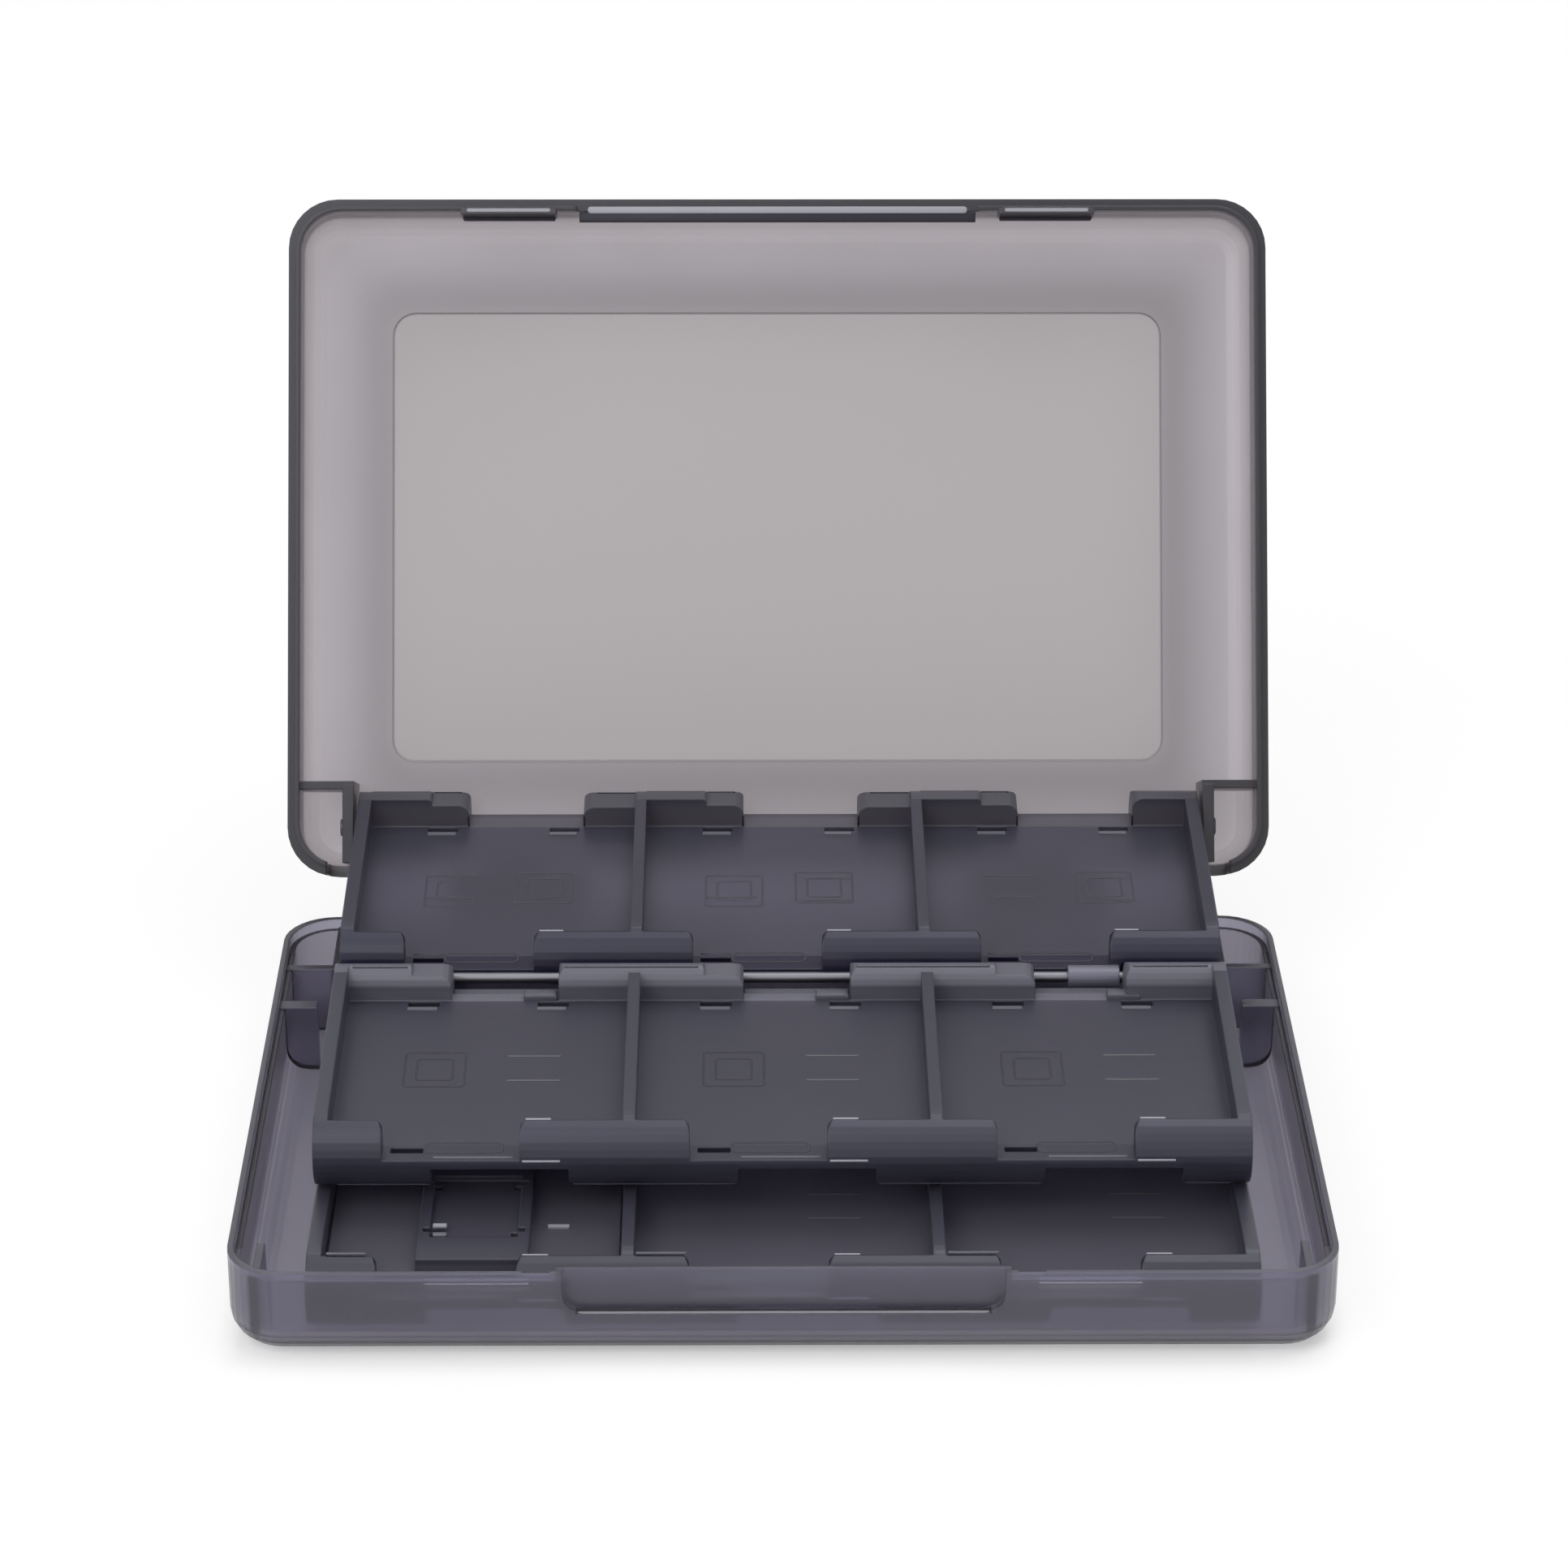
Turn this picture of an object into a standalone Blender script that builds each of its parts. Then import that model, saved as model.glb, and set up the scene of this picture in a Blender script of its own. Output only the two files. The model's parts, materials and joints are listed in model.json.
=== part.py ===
"""Flip-open case for game cards, modelled at rest with its lid open.

Two shallow shells are joined by two hinges behind the case. Four double-sided
trays lie in two layers: the lower pair lies in the base, and the upper pair
hangs from two pins in the lid and folds on a steel rod. Closed, both layers
lie flat between the shells.

Units are metres, +Z is up, +X is the right side and -Y the front. The origin
is the centre of the base's underside. The lid's shapes are written where they
lie when the case is shut, and an empty on the hinge axis turns them open.
"""

import math

import bmesh
import bpy
from mathutils import Matrix, Vector

COLLECTION_NAME = "game_card_case"

# Card pockets and the tray round them
POCKET_WIDTH = 0.0377
POCKET_LENGTH = 0.0360
POCKET_DEPTH = 0.00445
COLUMN_COUNT = 3
TRAY_DIVIDER = 0.0016
TRAY_SIDE_WALL = 0.00185
TRAY_REAR_WALL = 0.0060
TRAY_FRONT_WALL = 0.0033
TRAY_PLATE = 0.0013
TRAY_END_FLAT = 0.0002

# Openings in the tray's end walls, measured from each column's centre line
REAR_TAB_START = -0.0050
REAR_GAP_WIDTH = 0.0164
REAR_GAP_PLATE_SETBACK = 0.0025
ROD_GAP_PLATE_SETBACK = 0.0042
SHORT_TAB_WIDTH = 0.0053
SHORT_TAB_DROP = 0.0010
SIDE_TAB_DROP = 0.0013
TAB_CORNER_RADIUS = 0.0018
TALL_TAB_CORNER_RADIUS = 0.0008
BARREL_TAB_RADIUS = 0.0030
FRONT_GAP_START = -0.0119
FRONT_GAP_WIDTH = 0.0176
KNUCKLE_GAP_WIDTH = 0.0144
LAST_GAP_WIDTH = 0.0122
MOULD_SLOT_WIDTH = 0.0042
MOULD_SLOT_LENGTH = 0.0012
REAR_SLOT_LEFT = -0.0108
REAR_SLOT_RIGHT = 0.0066
FRONT_SLOT_START = -0.0109
FRONT_SLOT_FORWARD = 0.0014

# Clearances
CLEARANCE = 0.0003
TRAY_REAR_CLEARANCE = 0.0004
TRAY_FRONT_CLEARANCE = 0.0007
TRAY_FLOOR_CLEARANCE = 0.00035
TRAY_BELOW_RIM = 0.00035
LAYER_GAP = 0.00045
CEILING_CLEARANCE = 0.0006
TRAY_GAP = 0.0021
SIDE_CHANNEL = 0.0084

# Shells
WALL = 0.0016
CORNER_RADIUS = 0.0070
EDGE_RADIUS = 0.0045
REBATE_WALL = 0.0008
REBATE_DEPTH = 0.0014
LIP_DEPTH = 0.0012
LIP_THICKNESS = 0.00065

# Thumb recess in the middle of the front, and the lid's rib above it
RECESS_HALF_WIDTH = 0.0277
RECESS_DEPTH = 0.0012
RECESS_LEDGE_HEIGHT = 0.0067
RECESS_CORNER_RADIUS = 0.0026
RECESS_WALL = 0.0008

# Side snaps in the front wall
SNAP_TAB_PLACE = 0.0384
SNAP_TAB_WIDTH = 0.0136
SNAP_TAB_THICKNESS = 0.0009
SNAP_TAB_LENGTH = 0.0032
SNAP_GROOVE_DEPTH = 0.0004
SNAP_GROOVE_HEIGHT = 0.0011
SNAP_BEAD_HEIGHT = 0.0005
SNAP_BEAD_BITE = 0.00007
RIM_NOTCH_PLACE = 0.0310
RIM_NOTCH_WIDTH = 0.0034

# Ribs at the rear corners
EAR_LENGTH = 0.0130
EAR_WALL = 0.0012
EAR_GAP = 0.0016
LID_EAR_WALL = 0.0016
LID_EAR_GAP = 0.0006
SIDE_LUG_PLACE = 0.0730
SIDE_LUG_REACH = 0.0044
SIDE_LUG_THICKNESS = 0.0020
CORNER_WALL_LENGTH = 0.0080
CORNER_WALL_REACH = 0.0024
CORNER_WALL_THICKNESS = 0.0010

# Lid hinge
OPEN_ANGLE = math.radians(118.0)
HINGE_PLACE = 0.0370
HINGE_BEHIND_CASE = 0.0023
HINGE_BELOW_PIVOT = 0.0025
HINGE_BARREL_RADIUS = 0.0013
HINGE_PIN_RADIUS = 0.0006
HINGE_LUG_WIDTH = 0.0050
HINGE_LUG_THICKNESS = 0.0022
HINGE_ARM_WIDTH = 0.0094
HINGE_ARM_BACK = 0.0009
HINGE_ARM_TOP = 0.0063
HINGE_STOP_REACH = 0.0023
HINGE_WEB_HEIGHT = 0.0056
REAR_WALL_CUT_DROP = 0.0015
LID_REAR_CUT_RISE = 0.0017
LID_REAR_CORNER = 0.0040

# Tray pivots and the rods between trays
PIVOT_PIN_RADIUS = 0.0012
PIVOT_PIN_SOCKET = 0.0014
PIVOT_PIN_END = 0.0006
ROD_RADIUS = 0.00075
ROD_KNUCKLE_RADIUS = 0.0016
FRONT_CLIP_WIDTH = 0.0100
LAST_CLIP_PLACE = 0.0033
LAST_CLIP_WIDTH = 0.0070
TRAY_REST_GAP = 0.0004
TRAY_FOLD = math.radians(0.5)

# Insert panel in the lid
PANEL_WIDTH = 0.1110
PANEL_LENGTH = 0.0648
PANEL_THICKNESS = 0.0005
PANEL_CENTRE = 0.0476
PANEL_RECESS_DEPTH = 0.0007
PANEL_CORNER_RADIUS = 0.0030

# Memory card holder
HOLDER_CLEARANCE = 0.00035
HOLDER_PLATE = 0.0010
HOLDER_CORNER_RADIUS = 0.0010
PEDESTAL_WIDTH = 0.0142
PEDESTAL_HEIGHT = 0.0020
MEMORY_SEAT_WIDTH = 0.0112
MEMORY_SEAT_LENGTH = 0.0152
MEMORY_SEAT_DEPTH = 0.0008
MEMORY_SEAT_FORWARD = 0.0045
SEAT_CLIP_PLACE = 0.0058
SEAT_CLIP_WIDTH = 0.0018
SEAT_CLIP_LENGTH = 0.0010

# Sizes that follow from those above
TRAY_THICKNESS = TRAY_PLATE + 2 * POCKET_DEPTH
TRAY_HALF = TRAY_THICKNESS / 2
COLUMN_PITCH = POCKET_WIDTH + TRAY_DIVIDER
TRAY_WIDTH = (COLUMN_COUNT * POCKET_WIDTH + (COLUMN_COUNT - 1) * TRAY_DIVIDER
              + 2 * TRAY_SIDE_WALL)
TRAY_LENGTH = TRAY_REAR_WALL + POCKET_LENGTH + TRAY_FRONT_WALL
CASE_WIDTH = TRAY_WIDTH + 2 * (SIDE_CHANNEL + WALL)
CASE_DEPTH = (2 * (WALL + TRAY_LENGTH) + TRAY_GAP
              + TRAY_REAR_CLEARANCE + TRAY_FRONT_CLEARANCE)
HOLDER_WIDTH = POCKET_WIDTH - 2 * HOLDER_CLEARANCE
HOLDER_LENGTH = POCKET_LENGTH - 2 * HOLDER_CLEARANCE
HALF_WIDTH = CASE_WIDTH / 2
FRONT = -CASE_DEPTH / 2
BACK = CASE_DEPTH / 2

LOWER_AXIS_Z = WALL + TRAY_FLOOR_CLEARANCE + TRAY_HALF
LOWER_TRAY_TOP = LOWER_AXIS_Z + TRAY_HALF
BASE_RIM = LOWER_TRAY_TOP + TRAY_BELOW_RIM
UPPER_AXIS_Z = LOWER_AXIS_Z + TRAY_THICKNESS + LAYER_GAP
LID_RIM = BASE_RIM + CLEARANCE
CEILING = UPPER_AXIS_Z + TRAY_HALF + CEILING_CLEARANCE
CASE_TOP = CEILING + WALL
REBATE_FLOOR = BASE_RIM - REBATE_DEPTH
SNAP_GROOVE_LOW = LID_RIM - SNAP_TAB_LENGTH - CLEARANCE / 3
LIP_BOTTOM = LID_RIM - LIP_DEPTH

PIVOT_Y = BACK - WALL - TRAY_REAR_CLEARANCE - TRAY_HALF
LOWER_PIVOT = Vector((0, PIVOT_Y, LOWER_AXIS_Z))
UPPER_PIVOT = Vector((0, PIVOT_Y, UPPER_AXIS_Z))
HINGE = Vector((0, BACK + HINGE_BEHIND_CASE, UPPER_AXIS_Z - HINGE_BELOW_PIVOT))
OPENING = Matrix.Rotation(-OPEN_ANGLE, 4, "X")
UPPER_PIVOT_OPEN = HINGE + OPENING @ (UPPER_PIVOT - HINGE)

TRAY_FRONT_Y = TRAY_HALF - TRAY_LENGTH
POCKET_REAR_Y = TRAY_HALF - TRAY_REAR_WALL
POCKET_FRONT_Y = POCKET_REAR_Y - POCKET_LENGTH
FRONT_ROD_Y = TRAY_FRONT_Y - TRAY_GAP / 2
REAR_ROD_Y = TRAY_HALF + TRAY_GAP / 2

# The upper trays slope so that the front one's lower edge lies on the lower layer
TRAY_REACH = -FRONT_ROD_Y
TRAY_DROP = UPPER_PIVOT_OPEN.z - TRAY_HALF - LOWER_TRAY_TOP - TRAY_REST_GAP
MEAN_TILT = math.asin(TRAY_DROP / (2 * TRAY_REACH * math.cos(TRAY_FOLD / 2)))
REAR_TRAY_TILT = MEAN_TILT + TRAY_FOLD / 2

PLAN_SEGMENTS = 8
EDGE_SEGMENTS = 5
TAB_CORNER_SEGMENTS = 4
BARREL_TAB_SEGMENTS = 6
TRAY_END_SEGMENTS = 8
BARREL_SEGMENTS = 20
PIN_SEGMENTS = 24

# Cutters run past a surface, and joined shapes stop just short of one they would share
BEYOND = 0.0010
SHY = 0.0001
WELD_DISTANCE = 2e-6
TINY = 1e-6


def clear_scene():
    """Removes every object of the scene that the script is run in."""
    for obj in list(bpy.data.objects):
        bpy.data.objects.remove(obj, do_unlink=True)


def new_collection(name):
    collection = bpy.data.collections.new(name)
    bpy.context.scene.collection.children.link(collection)
    return collection


clear_scene()
PARTS = new_collection(COLLECTION_NAME)
CUTTERS = new_collection(COLLECTION_NAME + "_cutters")
CUTTERS.hide_render = True


def plastic(name, color, roughness, metallic=0.0):
    """A Principled material."""
    material = bpy.data.materials.new(name)
    material.use_nodes = True
    shader = material.node_tree.nodes["Principled BSDF"]
    shader.inputs["Base Color"].default_value = (*color, 1.0)
    shader.inputs["Roughness"].default_value = roughness
    shader.inputs["Metallic"].default_value = metallic
    return material


SHELL_MATERIAL = plastic("smoke_shell", (0.105, 0.100, 0.130), 0.35)
TRAY_MATERIAL = plastic("smoke_tray", (0.070, 0.070, 0.090), 0.40)
PANEL_MATERIAL = plastic("frosted_insert", (0.430, 0.420, 0.420), 0.60)
PIN_MATERIAL = plastic("moulded_pin", (0.120, 0.115, 0.135), 0.40)
STEEL_MATERIAL = plastic("steel_rod", (0.560, 0.560, 0.580), 0.30, 1.0)


def place(obj, collection, parent=None, location=(0, 0, 0), turn=0.0):
    """Links an object and sets where it lies, turned about X, in its parent's space."""
    collection.objects.link(obj)
    obj.parent = parent
    obj.location = location
    obj.rotation_euler = (turn, 0, 0)
    return obj


def empty(name, parent=None, location=(0, 0, 0), turn=0.0):
    return place(bpy.data.objects.new(name, None), PARTS, parent, location, turn)


def object_from(name, bm, material=None):
    """Makes an object of a bmesh, shaded smooth except at its sharp edges."""
    mesh = bpy.data.meshes.new(name)
    bmesh.ops.recalc_face_normals(bm, faces=bm.faces)
    bm.to_mesh(mesh)
    bm.free()
    mesh.shade_smooth()
    mesh.set_sharp_from_angle(angle=math.radians(35))
    if material:
        mesh.materials.append(material)
    return bpy.data.objects.new(name, mesh)


def box_bmesh(x_range, y_range, z_range):
    """A box between three pairs of limits."""
    ranges = (x_range, y_range, z_range)
    centre = Vector([(low + high) / 2 for low, high in ranges])
    size = Vector([high - low for low, high in ranges])
    bm = bmesh.new()
    bmesh.ops.create_cube(bm, size=1.0, matrix=Matrix.LocRotScale(centre, None, size))
    return bm


def round_edges(bm, edges, radius, segments):
    bmesh.ops.bevel(bm, geom=edges, offset=radius, offset_type="OFFSET", segments=segments,
                    profile=0.5, affect="EDGES", clamp_overlap=False)


def edges_along(bm, axis):
    """The edges of a box that run along one axis, numbered 0 to 2."""
    return [edge for edge in bm.edges
            if all(abs((edge.verts[0].co - edge.verts[1].co)[other]) < TINY
                   for other in range(3) if other != axis)]


def slab_bmesh(inset, z_range, rounded_z=None):
    """The shells' outline, drawn in by an inset, with one face's edge rounded too.

    An inset slab's corners are a little fuller and have one segment more, so
    that a Boolean with a shell doesn't meet the shell's edges point to point.
    """
    bm = box_bmesh((-HALF_WIDTH + inset, HALF_WIDTH - inset), (FRONT + inset, BACK - inset), z_range)
    segments = PLAN_SEGMENTS + (inset > 0)
    round_edges(bm, edges_along(bm, 2), CORNER_RADIUS - inset / 2, segments)
    if rounded_z is not None:
        ring = [edge for edge in bm.edges
                if all(abs(vert.co.z - rounded_z) < TINY for vert in edge.verts)]
        round_edges(bm, ring, EDGE_RADIUS - inset, EDGE_SEGMENTS)
    return bm


def delete_caps(bm, *heights):
    """Opens a slab by deleting its flat faces at these heights."""
    caps = [face for face in bm.faces
            if abs(face.normal.z) > 0.99
            and any(abs(face.calc_center_median().z - height) < TINY for height in heights)]
    bmesh.ops.delete(bm, geom=caps, context="FACES")


def solidify(obj, thickness):
    """Gives an open surface a wall on its inner side."""
    wall = obj.modifiers.new("wall", "SOLIDIFY")
    wall.thickness = thickness
    wall.offset = -1.0
    wall.use_even_offset = True
    return obj


def cylinder_bmesh(x_range, y, z, radius, segments):
    """A cylinder along X."""
    low, high = x_range
    bm = bmesh.new()
    bmesh.ops.create_cone(
        bm, cap_ends=True, segments=segments, radius1=radius, radius2=radius, depth=high - low,
        matrix=Matrix.Translation(((low + high) / 2, y, z)) @ Matrix.Rotation(math.pi / 2, 4, "Y"))
    return bm


def helper(name, bm, target):
    """A cutter or a joined shape that lies in its target's space."""
    obj = place(object_from(name, bm), CUTTERS, target)
    obj.hide_render = True
    obj.display_type = "WIRE"
    return obj


def combine(target, operation, other, within=None):
    """Adds a Boolean with a helper, which is first trimmed to another helper if one is given."""
    if within:
        trim = other.modifiers.new("trim", "BOOLEAN")
        trim.operation = "INTERSECT"
        trim.object = within
    modifier = target.modifiers.new(other.name, "BOOLEAN")
    modifier.operation = operation
    modifier.object = other


def weld(obj):
    """Merges the points that Booleans leave a few micrometres apart."""
    merge = obj.modifiers.new("weld", "WELD")
    merge.merge_threshold = WELD_DISTANCE


def join_box(target, name, x_range, y_range, z_range, within=None):
    combine(target, "UNION", helper(name, box_bmesh(x_range, y_range, z_range), target), within)


def cut_box(target, name, x_range, y_range, z_range):
    combine(target, "DIFFERENCE", helper(name, box_bmesh(x_range, y_range, z_range), target))


def join_cylinder(target, name, x_range, y, z, radius, segments=BARREL_SEGMENTS):
    bm = cylinder_bmesh(x_range, y, z, radius, segments)
    combine(target, "UNION", helper(name, bm, target))


def cut_cylinder(target, name, x_range, y, z, radius, segments=BARREL_SEGMENTS):
    bm = cylinder_bmesh(x_range, y, z, radius, segments)
    combine(target, "DIFFERENCE", helper(name, bm, target))


def both_sides(low, high):
    """The range at the right and its mirror image at the left."""
    return (("right", (low, high)), ("left", (-high, -low)))


def span(centre, width):
    return (centre - width / 2, centre + width / 2)


def shrunk(x_range):
    """A range that stops just short at both ends, so that joined shapes share no end face."""
    return (x_range[0] + SHY, x_range[1] - SHY)


def hinge_ranges():
    """For each of the two hinges: its name, its middle and the X ranges of its lugs and arm."""
    for side, centre in (("right", HINGE_PLACE), ("left", -HINGE_PLACE)):
        arm = span(centre, HINGE_ARM_WIDTH)
        lugs = ((arm[0] - CLEARANCE - HINGE_LUG_WIDTH, arm[0] - CLEARANCE),
                (arm[1] + CLEARANCE, arm[1] + CLEARANCE + HINGE_LUG_WIDTH))
        yield side, arm, lugs


def recess_bmesh(y_range, z_range):
    """The thumb recess, a box with its lower corners rounded."""
    bm = box_bmesh((-RECESS_HALF_WIDTH, RECESS_HALF_WIDTH), y_range, z_range)
    lower = [edge for edge in edges_along(bm, 1)
             if edge.verts[0].co.z < (z_range[0] + z_range[1]) / 2]
    round_edges(bm, lower, RECESS_CORNER_RADIUS, EDGE_SEGMENTS)
    return bm


def base_shell():
    """The base: a tray-like shell with the thumb recess, rear ears and hinge lugs."""
    bm = slab_bmesh(0, (0, BASE_RIM), rounded_z=0)
    delete_caps(bm, BASE_RIM)
    base = place(object_from("base_shell", bm, SHELL_MATERIAL), PARTS)
    solidify(base, WALL)
    core = helper("base_core", slab_bmesh(WALL / 2, (WALL / 2, BASE_RIM + BEYOND),
                                          rounded_z=WALL / 2), base)

    rebate = slab_bmesh(REBATE_WALL, (REBATE_FLOOR, BASE_RIM + BEYOND))
    combine(base, "DIFFERENCE", helper("base_rebate", rebate, base))
    add_base_front(base)
    add_base_ribs(base, core)
    add_base_hinges(base)
    weld(base)


def add_base_front(base):
    """The set-back thumb recess, and the grooves of the side snaps."""
    recess_face = FRONT + RECESS_DEPTH
    recess_back = recess_face + RECESS_WALL
    half = RECESS_HALF_WIDTH + RECESS_WALL
    join_box(base, "recess_wall", (-half, half), (recess_face - RECESS_WALL / 2, recess_back),
             (RECESS_LEDGE_HEIGHT - RECESS_WALL, BASE_RIM - SHY))
    recess = recess_bmesh((FRONT - BEYOND, recess_face), (RECESS_LEDGE_HEIGHT, BASE_RIM + BEYOND))
    combine(base, "DIFFERENCE", helper("recess", recess, base))
    inner_face = FRONT + WALL
    groove_half = SNAP_TAB_WIDTH / 2 - CLEARANCE
    groove_low = SNAP_GROOVE_LOW
    for side, place_x in (("right", SNAP_TAB_PLACE), ("left", -SNAP_TAB_PLACE)):
        cut_box(base, "groove_" + side, (place_x - groove_half, place_x + groove_half),
                (inner_face - SNAP_GROOVE_DEPTH, inner_face + BEYOND),
                (groove_low, groove_low + SNAP_GROOVE_HEIGHT))
    for side, place_x in (("right", RIM_NOTCH_PLACE), ("left", -RIM_NOTCH_PLACE)):
        cut_box(base, "rim_notch_" + side, span(place_x, RIM_NOTCH_WIDTH),
                (FRONT + REBATE_WALL / 2, inner_face + BEYOND),
                (REBATE_FLOOR + REBATE_WALL, BASE_RIM + BEYOND))


def add_base_ribs(base, core):
    """The ears that hold the lower tray's pins, and the small ribs of the side channels."""
    rib_top = LIP_BOTTOM - CLEARANCE
    ear_inner = TRAY_WIDTH / 2 + EAR_GAP
    ear_front = BACK - EAR_LENGTH
    inner_wall = HALF_WIDTH - WALL
    cut_half = ear_inner - SHY
    cut_box(base, "rear_wall_cut", (-cut_half, cut_half), (BACK - WALL - BEYOND, BACK + BEYOND),
            (BASE_RIM - REAR_WALL_CUT_DROP, BASE_RIM + BEYOND))
    for side, x_range in both_sides(ear_inner, ear_inner + EAR_WALL):
        join_box(base, "ear_wall_" + side, x_range, (ear_front, BACK - WALL / 2),
                 (WALL / 2, rib_top), core)
    for side, x_range in both_sides(ear_inner + EAR_WALL / 2, inner_wall + WALL):
        join_box(base, "ear_rib_" + side, x_range, (ear_front - EAR_WALL / 2, ear_front + EAR_WALL / 2),
                 (WALL / 2, rib_top), core)
    for side, x_range in both_sides(ear_inner - BEYOND, ear_inner + EAR_WALL + BEYOND):
        cut_cylinder(base, "pin_hole_" + side, x_range, LOWER_PIVOT.y, LOWER_PIVOT.z,
                     PIVOT_PIN_RADIUS + CLEARANCE, PIN_SEGMENTS)
    lug_y = FRONT + SIDE_LUG_PLACE
    for side, x_range in both_sides(inner_wall - SIDE_LUG_REACH, inner_wall + WALL):
        join_box(base, "side_lug_" + side, x_range, span(lug_y, SIDE_LUG_THICKNESS),
                 (WALL / 2, rib_top), core)
    corner_x = inner_wall - CORNER_WALL_REACH
    for side, x_range in both_sides(corner_x - CORNER_WALL_THICKNESS / 2,
                                    corner_x + CORNER_WALL_THICKNESS / 2):
        join_box(base, "corner_wall_" + side, x_range,
                 (FRONT + WALL / 2, FRONT + WALL + CORNER_WALL_LENGTH), (WALL / 2, rib_top), core)


def stop_height(y):
    """The height of the open arm's underside above a place behind the case."""
    foot = HINGE + OPENING @ Vector((0, HINGE_ARM_BACK, 0))
    along = OPENING @ Vector((0, 0, 1))
    return foot.z + (y - foot.y) * along.z / along.y


def add_base_hinges(base):
    """A web behind the rear wall, which also stops the lid, and two lugs on it for each pin."""
    web_back = HINGE.y + HINGE_STOP_REACH
    web_top = stop_height(web_back) - CLEARANCE
    web_front = BACK - WALL / 4
    for side, arm, lugs in hinge_ranges():
        join_box(base, "hinge_web_" + side, (lugs[0][0] - SHY, lugs[1][1] + SHY), (web_front, web_back),
                 (web_top - HINGE_WEB_HEIGHT, web_top))
        for number, x_range in enumerate(lugs):
            name = "hinge_lug_%s_%d" % (side, number)
            join_box(base, name, shrunk(x_range), span(HINGE.y, HINGE_LUG_THICKNESS),
                     (web_top - HINGE_BARREL_RADIUS, HINGE.z))
            join_cylinder(base, name + "_barrel", x_range, HINGE.y, HINGE.z, HINGE_BARREL_RADIUS)
        cut_cylinder(base, "hinge_bore_" + side, (lugs[0][0] - BEYOND, lugs[1][1] + BEYOND),
                     HINGE.y, HINGE.z, HINGE_PIN_RADIUS + CLEARANCE)


def lid_shell(hinge_axis):
    """The lid: a shell with a locating lip, ears for the upper pins and the hinge arms."""
    bm = slab_bmesh(0, (LID_RIM, CASE_TOP), rounded_z=CASE_TOP)
    delete_caps(bm, LID_RIM)
    lid = place(object_from("lid_shell", bm, SHELL_MATERIAL), PARTS, hinge_axis, -HINGE)
    solidify(lid, WALL)
    core = helper("lid_core", slab_bmesh(WALL / 2, (LID_RIM - WALL, CASE_TOP - WALL / 2),
                                         rounded_z=CASE_TOP - WALL / 2), lid)
    add_lid_lip(lid)
    add_lid_front(lid)
    add_lid_ears(lid, core)
    add_lid_arms(lid)
    recess_half = PANEL_WIDTH / 2 + CLEARANCE
    panel_y = span(FRONT + PANEL_CENTRE, PANEL_LENGTH + 2 * CLEARANCE)
    bm = box_bmesh((-recess_half, recess_half), panel_y,
                   (CEILING - BEYOND, CEILING + PANEL_RECESS_DEPTH))
    round_edges(bm, edges_along(bm, 2), PANEL_CORNER_RADIUS + CLEARANCE, EDGE_SEGMENTS)
    combine(lid, "DIFFERENCE", helper("panel_recess", bm, lid))
    weld(lid)


def add_lid_lip(lid):
    """A thin ring below the rim, which drops into the base's rebate, and the rear cut."""
    lip_top = LID_RIM + WALL
    bm = slab_bmesh(REBATE_WALL + CLEARANCE, (LIP_BOTTOM, lip_top))
    delete_caps(bm, LIP_BOTTOM, lip_top)
    lip = solidify(helper("lip", bm, lid), LIP_THICKNESS)
    combine(lid, "UNION", lip)
    gap_half = RECESS_HALF_WIDTH + RECESS_WALL + CLEARANCE
    cut_box(lid, "lip_gap", (-gap_half, gap_half), (FRONT + REBATE_WALL, FRONT + 2 * WALL),
            (LIP_BOTTOM - BEYOND, LID_RIM))
    cut_half = HALF_WIDTH - WALL - LID_REAR_CORNER
    cut_box(lid, "lid_rear_cut", (-cut_half, cut_half),
            (BACK - WALL - BEYOND / 2, BACK + BEYOND),
            (LIP_BOTTOM - BEYOND, UPPER_AXIS_Z + LID_REAR_CUT_RISE))


def add_lid_front(lid):
    """The rib above the thumb recess, and the two side snap tabs with their beads."""
    inner_face = FRONT + WALL
    join_box(lid, "front_rib", (-RECESS_HALF_WIDTH, RECESS_HALF_WIDTH),
             (FRONT + WALL / 2, FRONT + RECESS_DEPTH + RECESS_WALL),
             (LID_RIM + SHY, LID_RIM + 2 * WALL))
    tab_y = (inner_face + CLEARANCE / 2, inner_face + CLEARANCE / 2 + SNAP_TAB_THICKNESS)
    bead_z = span(SNAP_GROOVE_LOW + SNAP_GROOVE_HEIGHT / 2, SNAP_BEAD_HEIGHT)
    for side, place_x in (("right", SNAP_TAB_PLACE), ("left", -SNAP_TAB_PLACE)):
        tab_x = span(place_x, SNAP_TAB_WIDTH)
        join_box(lid, "snap_tab_" + side, tab_x, tab_y,
                 (LID_RIM - SNAP_TAB_LENGTH, LID_RIM + LIP_DEPTH))
        join_box(lid, "snap_bead_" + side, span(place_x, SNAP_TAB_WIDTH - 4 * CLEARANCE),
                 (inner_face - SNAP_BEAD_BITE, tab_y[0] + CLEARANCE), bead_z)
        join_box(lid, "snap_tab_root_" + side, tab_x, (FRONT + WALL / 2, tab_y[1] - CLEARANCE / 2),
                 (LID_RIM + SHY, LID_RIM + LIP_DEPTH + CLEARANCE))


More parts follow.
